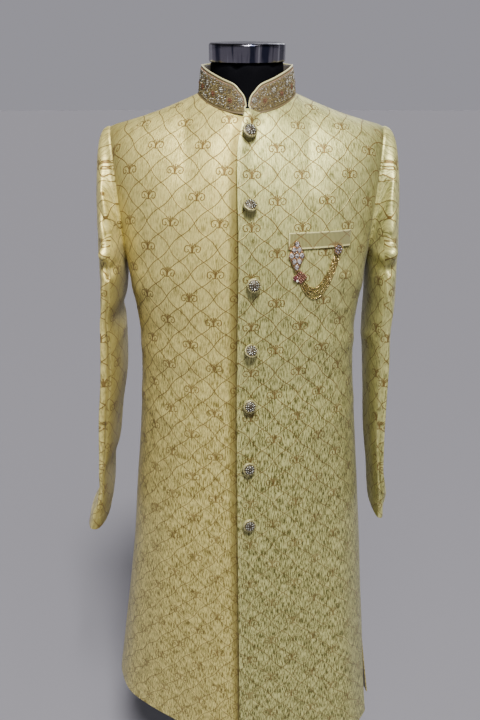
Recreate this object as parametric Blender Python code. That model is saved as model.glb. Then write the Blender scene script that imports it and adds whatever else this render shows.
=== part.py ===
# Sherwani coat on a limbless dress form, built as cut and sewn.
# Metres, +Z up, the front looks along -Y, and the wearer's right hand side is at -X.
# The origin is the centre of the underside of the form's base.
import functools
import math
from collections import namedtuple

import bmesh
import bpy
from mathutils import Vector
from mathutils.bvhtree import BVHTree

# Cloth and seams
WALL = 0.0020
SEAM_GAP = 0.0003
LAYER_GAP = 0.0008
REST_GAP = 0.0005
STEP = 0.001

# Heights of the coat
HEM_Z = 0.306
HEM_LIFT_RIGHT = 0.024
SLIT_TOP_Z = 0.640
UNDERARM_Z = 1.200
SWING_TOP_Z = 0.800
SKIRT_SWING = 0.13

# Body, a row for each height: half widths on the wearer's right and left, depths, squareness
Ring = namedtuple("Ring", "z right left front back square")
BODY = (
    Ring(0.306, 0.266, 0.252, 0.170, 0.158, 1.85),
    Ring(0.430, 0.248, 0.236, 0.164, 0.150, 1.95),
    Ring(0.560, 0.229, 0.225, 0.157, 0.141, 2.05),
    Ring(0.680, 0.213, 0.217, 0.151, 0.133, 2.15),
    Ring(0.800, 0.202, 0.207, 0.145, 0.126, 2.20),
    Ring(0.910, 0.191, 0.197, 0.139, 0.117, 2.25),
    Ring(1.020, 0.184, 0.188, 0.134, 0.109, 2.30),
    Ring(1.100, 0.185, 0.187, 0.136, 0.110, 2.35),
    Ring(1.200, 0.199, 0.199, 0.140, 0.118, 2.40),
)

# How far the edges at the side slits have moved at the hem, in quarter turns
SLIT_BACK_RIGHT = 0.035
SLIT_FRONT_LEFT = -0.20
SLIT_BACK_LEFT = 0.03

# Large soft folds of the skirt: place in quarter turns from the front, width, height out, top
Fold = namedtuple("Fold", "turn width out top")
SKIRT_FOLDS = (
    Fold(-0.66, 0.13, 0.006, 0.86),
    Fold(-0.34, 0.10, -0.004, 0.70),
    Fold(0.30, 0.12, -0.004, 0.76),
    Fold(0.58, 0.11, 0.006, 0.90),
    Fold(1.28, 0.10, -0.006, 0.80),
    Fold(1.48, 0.11, 0.008, 0.95),
    Fold(1.80, 0.10, -0.006, 0.85),
    Fold(2.05, 0.12, 0.007, 1.00),
    Fold(2.36, 0.11, -0.007, 0.82),
    Fold(2.62, 0.12, 0.007, 0.92),
)

# Front edge of the upper front, a row for each height
Edge = namedtuple("Edge", "z x")
FRONT_EDGE = (
    Edge(0.306, -0.010),
    Edge(0.420, -0.011),
    Edge(0.960, -0.016),
    Edge(1.250, -0.013),
    Edge(1.390, -0.014),
    Edge(1.444, -0.004),
)
UNDERLAP = 0.028
DIP_START = 0.060
DIP_END = 0.022

# Neckline and shoulder seam
NECK_HALF = 0.0765
NECK_FRONT = 0.088
NECK_BACK = 0.066
NECK_Z = 1.4735
NECK_DROP = 0.0295
NECK_RISE = 0.008
NECK_SHARE = 0.34
NECK_STEPS = 6
SHOULDER_X = 0.2185
SHOULDER_Z = 1.4245
SHOULDER_HOLLOW = 0.004
SHOULDER_STEPS = 6

# Armhole
ARMHOLE_FRONT = 0.068
ARMHOLE_BACK = 0.073
BLADE_OUT = 0.010
UPPER_STEPS = 12
SKIRT_STEPS = 14

# Sleeve sections, a row for each height: outer and inner edge, half depth, centre, sharpness
Section = namedtuple("Section", "z outer inner depth centre sharp")
SLEEVE_RIGHT = (
    Section(0.735, 0.289, 0.255, 0.066, -0.030, -0.15),
    Section(0.762, 0.282, 0.249, 0.067, -0.029, -0.15),
    Section(0.785, 0.269, 0.246, 0.068, -0.028, -0.15),
    Section(0.848, 0.260, 0.242, 0.070, -0.025, -0.15),
    Section(0.883, 0.260, 0.232, 0.071, -0.023, -0.12),
    Section(0.949, 0.258, 0.223, 0.074, -0.020, -0.10),
    Section(1.010, 0.254, 0.212, 0.077, -0.017, -0.08),
    Section(1.056, 0.251, 0.210, 0.079, -0.014, -0.05),
    Section(1.089, 0.249, 0.211, 0.080, -0.012, -0.05),
    Section(1.121, 0.247, 0.215, 0.080, -0.011, 0.00),
    Section(1.150, 0.246, 0.207, 0.084, -0.009, 0.00),
    Section(1.184, 0.245, 0.2035, 0.086, -0.005, 0.00),
)
SLEEVE_LEFT = (
    Section(0.757, 0.249, 0.230, 0.062, -0.031, -0.28),
    Section(0.777, 0.250, 0.228, 0.063, -0.028, -0.28),
    Section(0.794, 0.254, 0.226, 0.064, -0.027, -0.25),
    Section(0.809, 0.252, 0.225, 0.066, -0.027, -0.25),
    Section(0.842, 0.246, 0.222, 0.068, -0.025, -0.25),
    Section(0.906, 0.243, 0.215, 0.071, -0.022, -0.20),
    Section(0.969, 0.244, 0.211, 0.074, -0.019, -0.15),
    Section(1.040, 0.247, 0.206, 0.077, -0.015, -0.10),
    Section(1.092, 0.246, 0.203, 0.080, -0.012, -0.05),
    Section(1.144, 0.250, 0.204, 0.084, -0.009, 0.00),
    Section(1.184, 0.250, 0.2035, 0.086, -0.005, 0.00),
)
SLEEVES = {-1: SLEEVE_RIGHT, 1: SLEEVE_LEFT}
CAP_STEPS = 9
ARM_STEPS = 10
TOP_SLEEVE_HALF = 105
TURN_STEP = 15

# Bumps and dents of the sleeves: height, turn round the arm, spread, out, rise across the fold
Dent = namedtuple("Dent", "z turn high wide out rise")
SLEEVE_DENTS = {
    -1: (
        Dent(1.232, 70, 0.012, 55, 0.006, 0.00012),
        Dent(1.207, 110, 0.010, 50, -0.006, 0.00012),
        Dent(1.330, 60, 0.014, 50, 0.004, 0.00025),
        Dent(1.215, 285, 0.014, 60, 0.005, -0.0001),
        Dent(1.100, 250, 0.016, 50, 0.004, -0.0001),
    ),
    1: (
        Dent(1.235, 75, 0.012, 55, 0.007, -0.0001),
        Dent(1.207, 90, 0.010, 55, -0.005, -0.0001),
        Dent(1.350, 60, 0.014, 45, 0.004, 0.00025),
        Dent(1.225, 290, 0.014, 60, 0.005, 0.0001),
        Dent(1.090, 255, 0.016, 50, 0.004, 0.0001),
    ),
}

# Standing collar: height of its top edge above the neckline, by degrees from the front
Rise = namedtuple("Rise", "turn high")
COLLAR_RISE = (
    Rise(3.0, 0.0100),
    Rise(5.0, 0.0215),
    Rise(10.5, 0.0300),
    Rise(16.0, 0.0365),
    Rise(23.0, 0.0390),
    Rise(45.0, 0.0410),
    Rise(70.0, 0.0400),
    Rise(100.0, 0.0380),
    Rise(180.0, 0.0380),
)
COLLAR_ENDS = (3.0, 4.0, 5.5, 7.5, 10.0, 12.5)
COLLAR_WALL = 0.0025
COLLAR_LIFT = 0.0006
COLLAR_LEAN = 0.0045
COLLAR_ROWS = 3
PIPING_RADIUS = 0.0013

# Buttons, a row for each: place on the front and how far the face tips upward, in degrees
Button = namedtuple("Button", "x z tip")
BUTTONS = (
    Button(0.001, 1.4180, 10),
    Button(0.002, 1.3120, 22),
    Button(0.009, 1.1950, 4),
    Button(0.005, 1.0860, 20),
    Button(0.003, 0.9930, 6),
    Button(0.002, 0.8830, 4),
    Button(0.003, 0.7790, 4),
)
BUTTON_RADIUS = 0.0115
BUTTON_SIDES = 12
# Profile of a button from its shank outward: share of the radius, distance from the cloth
BUTTON_PROFILE = (
    (0.30, 0.0000),
    (0.30, 0.0020),
    (0.86, 0.0028),
    (1.00, 0.0050),
    (0.93, 0.0075),
    (0.62, 0.0106),
)
BUTTON_TOP = 0.0121

# Welt of the breast pocket
WELT_LEFT = 0.062
WELT_RIGHT = 0.159
WELT_TOP = 1.2745
WELT_BOTTOM = 1.2495
WELT_THICK = 0.0015
WELT_GAP = 0.0009

# Brooch with its clasp and chains, placed on the front by x and z
BROOCH_AT = (0.0745, 1.2400)
BROOCH_HALF = (0.0125, 0.0225)
BROOCH_THICK = 0.0040
DROP_AT = (0.0815, 1.2070)
DROP_HALF = (0.0095, 0.0095)
DROP_THICK = 0.0035
CLASP_AT = (0.1395, 1.2455)
CLASP_RADIUS = 0.0080
CLASP_THICK = 0.0040
CHAIN_COUNT = 4
CHAIN_RADIUS = 0.0010
CHAIN_GAP = 0.0009
CHAIN_START = (0.0905, 1.1960)
CHAIN_END = (0.1345, 1.2357)
CHAIN_PITCH = 0.0029
CHAIN_SAG = 0.025
CHAIN_SAG_STEP = 0.0060
CHAIN_POINTS = 13

# Dress form
FORM_BOTTOM_Z = 0.760
FORM_EASE_CHEST = 0.0060
FORM_EASE_WAIST = 0.0120
FORM_EASE_HIP = 0.0160
FORM_EASE_THROAT = 0.0042
SHOULDER_REST = 0.0008
FORM_CHEST_Z = 1.200
FORM_WAIST_Z = 1.020
NECK_RADIUS = 0.0575
NECK_CENTRE_Y = -0.008
NECK_TOP_Z = 1.5195
NECK_TILT = math.radians(5)
CAP_RADIUS = 0.0595
CAP_HEIGHT = 0.027
CAP_EDGE = 0.004
POLE_RADIUS = 0.0125
BASE_RADIUS = 0.165
BASE_HUB_TOP = 0.045
ROUND_SIDES = 24

# Colours as red, green, blue, then roughness and metallic
FINISH = {
    "brocade": ((0.56, 0.50, 0.20), 0.50, 0.15),
    "embroidery": ((0.36, 0.27, 0.12), 0.55, 0.40),
    "piping": ((0.66, 0.62, 0.36), 0.50, 0.10),
    "button": ((0.42, 0.35, 0.18), 0.45, 0.40),
    "gilt": ((0.62, 0.42, 0.18), 0.30, 1.00),
    "form": ((0.012, 0.012, 0.014), 0.45, 0.00),
    "chrome": ((0.62, 0.63, 0.65), 0.18, 1.00),
    "base": ((0.03, 0.03, 0.032), 0.40, 0.60),
}


def clear_scene():
    for item in list(bpy.data.objects):
        bpy.data.objects.remove(item, do_unlink=True)


def material(name):
    made = bpy.data.materials.get(name)
    if made:
        return made
    colour, rough, metal = FINISH[name]
    made = bpy.data.materials.new(name)
    made.use_nodes = True
    shader = made.node_tree.nodes["Principled BSDF"]
    shader.inputs["Base Color"].default_value = (*colour, 1.0)
    shader.inputs["Roughness"].default_value = rough
    shader.inputs["Metallic"].default_value = metal
    return made


def ease(value):
    """Smooth step from 0 to 1."""
    value = min(max(value, 0.0), 1.0)
    return value * value * (3 - 2 * value)


def blend(first, last, share):
    return first + (last - first) * share


def smooth(rows, name, place):
    """One named column of a table, read between its rows on a smooth curve."""
    keys = [row[0] for row in rows]
    values = [getattr(row, name) for row in rows]
    place = min(max(place, keys[0]), keys[-1])
    low = max(i for i in range(len(keys) - 1) if place >= keys[i])
    slopes = []
    for i in (low, low + 1):
        before = max(i - 1, 0)
        after = min(i + 1, len(keys) - 1)
        slopes.append((values[after] - values[before]) / (keys[after] - keys[before]))
    gap = keys[low + 1] - keys[low]
    k = (place - keys[low]) / gap
    rise = values[low + 1] - values[low]
    bend = k * (1 - k) * ((slopes[0] * gap - rise) * (1 - k) - (slopes[1] * gap - rise) * k)
    return values[low] + rise * k + bend


# Surface of the body below the underarm

def around(turn):
    """Quarter turns from the front centre, brought to -2..2; the front is within -1..1."""
    return (turn + 2) % 4 - 2


def fold_out(turn, z):
    out = 0.0
    for fold in SKIRT_FOLDS:
        away = around(turn - fold.turn)
        share = ease((fold.top - z) / (fold.top - HEM_Z))
        out += fold.out * share * math.exp(-((away / fold.width) ** 2))
    return out


def lower(turn, level):
    """Point of the body between the hem, level 0, and the underarm, level 1."""
    side = around(turn)
    lift = HEM_LIFT_RIGHT * ease(-math.sin(math.radians(90 * side)) * 1.2)
    z = blend(HEM_Z + lift, UNDERARM_Z, level)
    across = math.sin(math.radians(90 * side))
    half = smooth(BODY, "left" if across > 0 else "right", z)
    square = smooth(BODY, "square", z)
    reach = max(1 - abs(across) ** square, 0.0) ** (1 / square)
    if abs(side) <= 1:
        y = -smooth(BODY, "front", z) * reach
    else:
        y = smooth(BODY, "back", z) * reach
    point = Vector((half * across, y, z))
    swing = SKIRT_SWING * ease((SWING_TOP_Z - z) / (SWING_TOP_Z - HEM_Z))
    point.y -= swing * point.x
    flat = Vector((point.x, point.y, 0))
    return point + flat.normalized() * fold_out(turn, z)


# Surface of the body above the underarm

def neck_point(turn):
    """Point of the neckline, in degrees from the front centre."""
    angle = math.radians(turn)
    x = NECK_HALF * math.sin(angle)
    forward = math.cos(angle)
    if forward > 0:
        return Vector((x, -NECK_FRONT * forward, NECK_Z - NECK_DROP * forward ** 1.5))
    return Vector((x, -NECK_BACK * forward, NECK_Z + NECK_RISE * (-forward) ** 1.5))


def top_line(face, side, share):
    """Upper edge of a panel: neckline first, then the shoulder seam out to the sleeve."""
    if share < NECK_SHARE - 1e-6:
        turn = 90 * share / NECK_SHARE
        if face == "back":
            turn = 180 - turn
        return neck_point(turn * side)
    k = (share - NECK_SHARE) / (1 - NECK_SHARE)
    x = blend(NECK_HALF, SHOULDER_X, k)
    z = blend(NECK_Z, SHOULDER_Z, k) - SHOULDER_HOLLOW * math.sin(math.pi * k)
    y = -SEAM_GAP / 2 if face == "front" else SEAM_GAP / 2
    return Vector((x * side, y, z))


def upper(face, turn, rise):
    """Point of a panel between the underarm, rise 0, and its upper edge, rise 1."""
    side = around(turn)
    sign = 1 if side >= 0 else -1
    share = abs(side) if face == "front" else 2 - abs(side)
    share = min(share, 1.0)
    base = lower(sign * (share if face == "front" else 2 - share), 1.0)
    top = top_line(face, sign, share)
    edge = abs(lower(sign, 1.0).x)
    even = sign * share * (1.45 - 0.45 * share)
    spread = blend(base.x / edge, even, 1 - (1 - rise) ** 2)
    spread = blend(spread, top.x / SHOULDER_X, rise ** 20)
    x = spread * blend(edge, SHOULDER_X, rise ** 1.5)
    z = blend(base.z, top.z, rise)
    middle = lower(0.0 if face == "front" else 2.0, 1.0).y
    hole = -ARMHOLE_FRONT if face == "front" else ARMHOLE_BACK
    chest = hole + (middle - hole) * (1 - share ** 2)
    swell = max(1 - (1 - rise) ** 2.6, 0.0) ** (0.5 + min(3.0 * (1 - share), 1.3))
    power = blend(1.25, 2.0, ease(share / 0.8))
    full = max(1 - rise ** 2.3, 0.0) ** (1 / power)
    y = blend(top.y, blend(base.y, chest, swell), full)
    under = lower(sign * (share if face == "front" else 2 - share), 1.0 - STEP)
    slope = (base.y - under.y) / (base.z - under.z)
    y += slope * (z - base.z) * (1 - share ** 4) * (1 - rise) ** 3
    if face == "back":
        y += BLADE_OUT * (1 - share ** 2) * math.sin(math.pi * rise) ** 2
    return Vector((x, y, z))


def body(face, turn, level):
    """Outer surface of a panel, level 0 at the hem, 1 at the underarm, 2 at the top."""
    if level <= 1:
        return lower(turn, level)
    return upper(face, turn, level - 1)


def seam_normal(sign):
    """Upward direction square to the shoulder seam."""
    along = Vector((SHOULDER_X - NECK_HALF, 0, SHOULDER_Z - NECK_Z)).normalized()
    return Vector((-along.z * sign, 0, along.x))


def body_normal(face, turn, level):
    side = around(turn)
    sign = 1 if side >= 0 else -1
    share = abs(side) if face == "front" else 2 - abs(side)
    if level >= 2 and share >= NECK_SHARE - 1e-6:
        return seam_normal(sign)
    if level <= 1:
        top = min(level + STEP, 1.0)
        up = lower(turn, top) - lower(turn, top - 2 * STEP)
        along = lower(turn + STEP, level) - lower(turn - STEP, level)
        if abs(abs(side) - 1) < 1e-6 and level > 0.6:
            return Vector((sign, 0, 0))
        return along.cross(up).normalized()
    high = min(level + STEP, 2.0)
    up = body(face, turn, high) - body(face, turn, high - 2 * STEP)
    inward = -STEP if side >= 0 else STEP
    if face == "back":
        inward = -inward
    if share < 0.01:
        along = body(face, turn + STEP, level) - body(face, turn - STEP, level)
    elif inward < 0:
        along = body(face, turn, level) - body(face, turn - 2 * STEP, level)
    else:
        along = body(face, turn + 2 * STEP, level) - body(face, turn, level)
    return along.cross(up).normalized()


def turn_at(face, level, x):
    """Quarter turns at which the panel has a given x, close to the front centre."""
    low, high = -0.9, 0.9
    for _ in range(40):
        middle = (low + high) / 2
        if body(face, middle, level).x < x:
            low = middle
        else:
            high = middle
    return (low + high) / 2


def slit(level):
    """Opening of the side slits, 1 at the hem and 0 above their top."""
    z = blend(HEM_Z, UNDERARM_Z, level)
    return ease((SLIT_TOP_Z - z) / (SLIT_TOP_Z - HEM_Z))


# Mesh building

def new_object(name, mesh, finish, smooth_angle=50):
    mesh.materials.append(material(finish))
    item = bpy.data.objects.new(name, mesh)
    bpy.context.collection.objects.link(item)
    mesh.shade_smooth()
    mesh.set_sharp_from_angle(angle=math.radians(smooth_angle))
    return item


def close_mesh(name, work, finish):
    if work.calc_volume(signed=True) < 0:
        bmesh.ops.reverse_faces(work, faces=work.faces)
    mesh = bpy.data.meshes.new(name)
    work.to_mesh(mesh)
    work.free()
    return new_object(name, mesh, finish)


def add_grid(work, rows, wrap=False, other=False):
    """Triangles over a grid of vertices; other turns the diagonal of each square."""
    for low, high in zip(rows, rows[1:]):
        count = len(low)
        last = count if wrap else count - 1
        for i in range(last):
            j = (i + 1) % count
            if other:
                work.faces.new((low[i], low[j], high[i]))
                work.faces.new((low[j], high[j], high[i]))
            else:
                work.faces.new((low[i], low[j], high[j]))
                work.faces.new((low[i], high[j], high[i]))


def shell(name, outer, inner, finish):
    """Closed wall between an outer and an inner grid of points."""
    work = bmesh.new()
    out = [[work.verts.new(p) for p in row] for row in outer]
    back = [[work.verts.new(p) for p in row] for row in inner]
    add_grid(work, out)
    add_grid(work, [list(reversed(row)) for row in back], other=True)
    add_grid(work, [back[0], out[0]])
    add_grid(work, [out[-1], back[-1]])
    add_grid(work, [[row[0] for row in out], [row[0] for row in back]])
    add_grid(work, [[row[-1] for row in back], [row[-1] for row in out]])
    return close_mesh(name, work, finish)


def tube(name, points, radius, finish, sides=2):
    """Round bar with closed ends along a run of points."""
    curve = bpy.data.curves.new(name, "CURVE")
    curve.dimensions = "3D"
    curve.bevel_depth = radius
    curve.bevel_resolution = sides
    curve.use_fill_caps = True
    line = curve.splines.new("POLY")
    line.points.add(len(points) - 1)
    for spot, point in zip(line.points, points):
        spot.co = (*point, 1.0)
    curve.materials.append(material(finish))
    item = bpy.data.objects.new(name, curve)
    bpy.context.collection.objects.link(item)
    return item


def turned(name, profile, finish, centre, axis=(0, 0, 1), sides=ROUND_SIDES):
    """Solid of revolution from radius and height pairs, from its foot to its top."""
    work = bmesh.new()
    direction = Vector(axis).normalized()
    across = direction.orthogonal().normalized()
    beside = direction.cross(across)
    rows = []
    for radius, height in profile:
        row = []
        for i in range(sides):
            angle = 2 * math.pi * i / sides
            spoke = across * math.cos(angle) + beside * math.sin(angle)
            row.append(work.verts.new(Vector(centre) + direction * height + spoke * radius))
        rows.append(row)
    add_grid(work, rows, wrap=True)
    work.faces.new(list(reversed(rows[0])))
    work.faces.new(rows[-1])
    return close_mesh(name, work, finish)


# Panels of the body

def levels():
    """Levels of the rows: even in the skirt, closer at the ends of the armhole."""
    rows = [i / SKIRT_STEPS for i in range(SKIRT_STEPS)]
    for i in range(UPPER_STEPS + 1):
        rows.append(1 + (1 - math.cos(math.pi * i / UPPER_STEPS)) / 2)
    return rows


def shares():
    """Columns of half a panel from its centre line, 0, to the armhole or side seam, 1."""
    marks = [NECK_SHARE * i / NECK_STEPS for i in range(NECK_STEPS)]
    for i in range(SHOULDER_STEPS + 1):
        marks.append(NECK_SHARE + (1 - NECK_SHARE) * i / SHOULDER_STEPS)
    return marks


def seam_shift(face, turn, level, away):
    """Half a seam gap along the surface, away from the neighbouring panel."""
    if level > 1.0:
        return Vector((0, 0, 0))
    run = (lower(turn + STEP, level) - lower(turn - STEP, level)).normalized()
    return run * away * SEAM_GAP / 2


def panel(name, face, turns, shifts, dip=None):
    """One panel; turns gives the columns of a row, shifts the seam side of its ends."""
    outer = []
    inner = []
    for level in levels():
        out_row = []
        in_row = []
        row = turns(level)
        for i, turn in enumerate(row):
            point = body(face, turn, level)
            normal = body_normal(face, turn, level)
            away = shifts[0] if i == 0 else shifts[1] if i == len(row) - 1 else 0
            point = point + seam_shift(face, turn, level, away)
            if dip:
                point = point - normal * dip(point.x)
            out_row.append(point)
            in_row.append(point - normal * WALL)
        outer.append(out_row)
        inner.append(in_row)
    return shell(name, outer, inner, "brocade")


def front_left():
    def turns(level):
        z = body("front", 0.0, level).z
        edge = turn_at("front", level, smooth(FRONT_EDGE, "x", z))
        end = 1 + SLIT_FRONT_LEFT * slit(level)
        return [edge] + [share * end for share in shares()]
    return panel("front_left", "front", turns, (0, -1))


def underlap_dip(x):
    """The right front steps back under the left front."""
    return (WALL + LAYER_GAP) * ease((x + DIP_START) / (DIP_START - DIP_END))


def front_right():
    def turns(level):
        under = turn_at("front", level, UNDERLAP)
        return [-share for share in reversed(shares())] + [under]
    return panel("front_right", "front", turns, (1, 0), underlap_dip)


def back():
    def turns(level):
        near_left = 1 + SLIT_BACK_LEFT * slit(level)
        near_right = 1 + SLIT_BACK_RIGHT * slit(level)
        left = [2 - share * (2 - near_left) for share in reversed(shares())]
        right = [2 + share * (2 - near_right) for share in shares()]
        return left + right[1:]
    return panel("back", "back", turns, (1, -1))


# Sleeves

def armhole(side, turn):
    """Edge of the body's armhole at a turn round the arm, 0 at the shoulder, 90 in front.

    Gives the point, the cloth's outward normal and the direction off the edge."""
    turn = turn % 360
    face = "front" if turn <= 180 else "back"
    rise = (1 + math.cos(math.radians(turn))) / 2
    point = body(face, side, 1 + rise)
    if turn < 1 or turn > 359:
        normal = seam_normal(side)
        return point, normal, Vector((normal.z * side, 0, -abs(normal.x)))
    if abs(turn - 180) < 1:
        return point, Vector((side, 0, 0)), Vector((0, 0, 1))
    normal = body_normal(face, side, 1 + rise)
    near = body(face, side, 1 + max(rise - STEP, 0.0))
    run = (body(face, side, 1 + min(rise + STEP, 1.0)) - near).normalized()
    off = run.cross(normal).normalized()
    return point, normal, off * (side if face == "front" else -side)


def dent_out(side, turn, z):
    out = 0.0
    for dent in SLEEVE_DENTS[side]:
        away = (turn - dent.turn + 180) % 360 - 180
        along = (z - dent.z - dent.rise * away) / dent.high
        out += dent.out * math.exp(-(along ** 2) - (away / dent.wide) ** 2)
    return out


def section(side, turn, z):
    """Point of the hanging sleeve at a height."""
    rows = SLEEVES[side]
    outer = smooth(rows, "outer", z)
    inner = smooth(rows, "inner", z)
    depth = smooth(rows, "depth", z)
    sharp = smooth(rows, "sharp", z)
    angle = math.radians(turn)
    across = math.copysign(abs(math.cos(angle)) ** (1 + sharp), math.cos(angle))
    x = (outer + inner) / 2 + (outer - inner) / 2 * across
    y = smooth(rows, "centre", z) - depth * math.sin(angle)
    return Vector((x * side, y, z))


def sleeve_base(side, turn, level):
    """Sleeve without its dents: level 0 at the armhole, 1 under the arm, 2 at the cuff."""
    rows = SLEEVES[side]
    if level >= 1:
        return section(side, turn, blend(rows[-1].z, rows[0].z, level - 1))
    start, _, off = armhole(side, turn)
    start = start + off * SEAM_GAP
    end = section(side, turn, rows[-1].z)
    lean = (1 + math.cos(math.radians(turn))) / 2
    drop = start.z - end.z
    first = start + off * blend(0.012, 0.024, lean)
    last = end + Vector((0, 0, drop * 0.90 + blend(0.012, 0.0, lean)))
    a = 1 - level
    mixed = start * a ** 3 + first * (3 * a * a * level)
    return mixed + last * (3 * a * level * level) + end * level ** 3


def sleeve_point(side, turn, level):
    point = sleeve_base(side, turn, level)
    angle = math.radians(turn)
    out = Vector((side * math.cos(angle), -math.sin(angle), 0))
    fade = ease(level / 0.4) * ease((2 - level) / 0.1)
    inside = ease((-math.cos(angle) - 0.4) / 0.5)
    return point + out * dent_out(side, turn, point.z) * fade * (1 - inside)


def sleeve_normal(side, turn, level):
    if level <= 0:
        return armhole(side, turn)[1]
    low = min(level, 2 - STEP)
    down = sleeve_point(side, turn, low + STEP) - sleeve_point(side, turn, low - STEP)
    round_step = 0.5
    run = sleeve_point(side, turn + round_step, level)
    run = run - sleeve_point(side, turn - round_step, level)
    return run.cross(down).normalized() * side


def sleeve_levels():
    rows = [(i / CAP_STEPS) ** 1.4 for i in range(CAP_STEPS)]
    return rows + [1 + i / ARM_STEPS for i in range(ARM_STEPS + 1)]


def sleeve_panel(name, side, first, last):
    """Part of the sleeve between two turns round the arm, in degrees."""
    outer = []
    inner = []
    for level in sleeve_levels():
        out_row = []
        in_row = []
        for turn in range(first, last + 1, TURN_STEP):
            point = sleeve_point(side, turn, level)
            normal = sleeve_normal(side, turn, level)
            if turn in (first, last):
                near = sleeve_point(side, turn - 1, level)
                run = (sleeve_point(side, turn + 1, level) - near).normalized()
                away = 1 if turn == first else -1
                point = point + run * away * SEAM_GAP / 2
            out_row.append(point)
            in_row.append(point - normal * WALL)
        outer.append(out_row)
        inner.append(in_row)
    return shell(name, outer, inner, "brocade")


def sleeves():
    for side, word in ((-1, "right"), (1, "left")):
        sleeve_panel(f"top_sleeve_{word}", side, -TOP_SLEEVE_HALF, TOP_SLEEVE_HALF)
        sleeve_panel(f"under_sleeve_{word}", side, TOP_SLEEVE_HALF, 360 - TOP_SLEEVE_HALF)


# Collar

def collar_turns():
    """Degrees from the front centre, round the back, to the front centre."""
    half = list(COLLAR_ENDS) + list(range(TURN_STEP, 180, TURN_STEP))
    return half + [180] + [360 - turn for turn in reversed(half)]


def collar_point(turn, rise):
    """Outer face of the collar, rise 0 at the neckline and 1 at its top edge."""
    near = min(turn, 360 - turn)
    foot = neck_point(turn)
    inward = -Vector((foot.x, foot.y, 0)).normalized()
    high = smooth(COLLAR_RISE, "high", near) * rise
    lean = COLLAR_LEAN * high / COLLAR_RISE[-1].high
    return foot + Vector((0, 0, COLLAR_LIFT + high)) + inward * lean


def collar_inward(turn):
    """Level direction square to the collar, toward the neck."""
    run = neck_point(turn + 1) - neck_point(turn - 1)
    return Vector((-run.y, run.x, 0)).normalized()


def collar():
    outer = []
    inner = []
    for i in range(COLLAR_ROWS + 1):
        row = [collar_point(turn, i / COLLAR_ROWS) for turn in collar_turns()]
        outer.append(row)
        shifts = [collar_inward(turn) * COLLAR_WALL for turn in collar_turns()]
        inner.append([point + shift for point, shift in zip(row, shifts)])
    return shell("collar", outer, inner, "embroidery")


def collar_piping():
    """Piping that runs along the top edge of the collar."""
    points = []
    for turn in collar_turns():
        inward = collar_inward(turn)
        run = collar_point(turn + 0.5, 1) - collar_point(turn - 0.5, 1)
        off = run.cross(inward).normalized()
        point = collar_point(turn, 1) + inward * COLLAR_WALL / 2
        points.append(point + off * (PIPING_RADIUS + REST_GAP))
    return tube("collar_piping", points, PIPING_RADIUS, "piping", 1)


# What lies on the left front

def front_place(x, z):
    """Level and turn of the front at a given x and height."""
    turn = 0.0
    level = 1.0
    for _ in range(12):
        if z <= UNDERARM_Z:
            level = (z - HEM_Z) / (UNDERARM_Z - HEM_Z)
        else:
            level = 1 + (z - UNDERARM_Z) / (body("front", turn, 2.0).z - UNDERARM_Z)
        turn = turn_at("front", level, x)
    return turn, level


@functools.lru_cache
def faces_of(name):
    """Search tree over the faces of a finished piece."""
    work = bmesh.new()
    work.from_mesh(bpy.data.objects[name].data)
    tree = BVHTree.FromBMesh(work)
    work.free()
    return tree


def on_front(x, z, out):
    """Point at a distance off the left front's outer face."""
    turn, level = front_place(x, z)
    hit = faces_of("front_left").ray_cast(Vector((x, -1, z)), Vector((0, 1, 0)))[0]
    return hit + body_normal("front", turn, level) * out


def buttons():
    for i, row in enumerate(BUTTONS):
        foot = on_front(row.x, row.z, SEAM_GAP + 0.0002)
        turn, level = front_place(row.x, row.z)
        normal = body_normal("front", turn, level)
        tip = math.radians(row.tip)
        axis = normal * math.cos(tip) + Vector((0, 0, 1)) * math.sin(tip)
        lift = BUTTON_RADIUS * 0.30 * math.sin(tip)
        foot = foot + normal * lift
        profile = [(share * BUTTON_RADIUS, far) for share, far in BUTTON_PROFILE]
        profile.append((0.08 * BUTTON_RADIUS, BUTTON_TOP))
        turned(f"button_{i + 1}", profile, "button", foot, axis, BUTTON_SIDES)


def patch(name, centre, half, thick, finish, power, steps=6):
    """Domed piece lying on the front; power 1 gives a lozenge, 2 an oval."""
    outer = []
    inner = []
    for j in range(steps + 1):
        v = 2 * j / steps - 1
        wide = max(1 - abs(v) ** power, 0.0) ** (1 / power)
        wide = max(wide, 0.12)
        out_row = []
        in_row = []
        for i in range(steps + 1):
            u = 2 * i / steps - 1
            x = centre[0] + half[0] * wide * u
            z = centre[1] + half[1] * v
            dome = (1 - u ** 4) * (1 - v ** 4)
            out_row.append(on_front(x, z, SEAM_GAP + 0.0012 + (thick - 0.0012) * dome))
            in_row.append(on_front(x, z, SEAM_GAP + 0.0001))
        outer.append(out_row)
        inner.append(in_row)
    return shell(name, outer, inner, finish)


def pocket_welt():
    columns = 8
    rows = 2
    outer = []
    inner = []
    for j in range(rows + 1):
        z = blend(WELT_BOTTOM, WELT_TOP, j / rows)
        xs = [blend(WELT_LEFT, WELT_RIGHT, i / columns) for i in range(columns + 1)]
        outer.append([on_front(x, z, WELT_GAP + WELT_THICK) for x in xs])
        inner.append([on_front(x, z, WELT_GAP) for x in xs])
    return shell("pocket_welt", outer, inner, "brocade")


def brooch():
    base = WELT_GAP + WELT_THICK
    lay = {"brooch": base, "brooch_drop": 0.0, "brooch_clasp": base}
    rows = (
        ("brooch", BROOCH_AT, BROOCH_HALF, BROOCH_THICK, 1.3),
        ("brooch_drop", DROP_AT, DROP_HALF, DROP_THICK, 2.5),
        ("brooch_clasp", CLASP_AT, (CLASP_RADIUS, CLASP_RADIUS), CLASP_THICK, 2.0),
    )
    for name, centre, half, thick, power in rows:
        item = patch(name, centre, half, thick, "gilt", power)
        turn, level = front_place(*centre)
        shift = body_normal("front", turn, level) * lay[name]
        for vertex in item.data.vertices:
            vertex.co += shift


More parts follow.
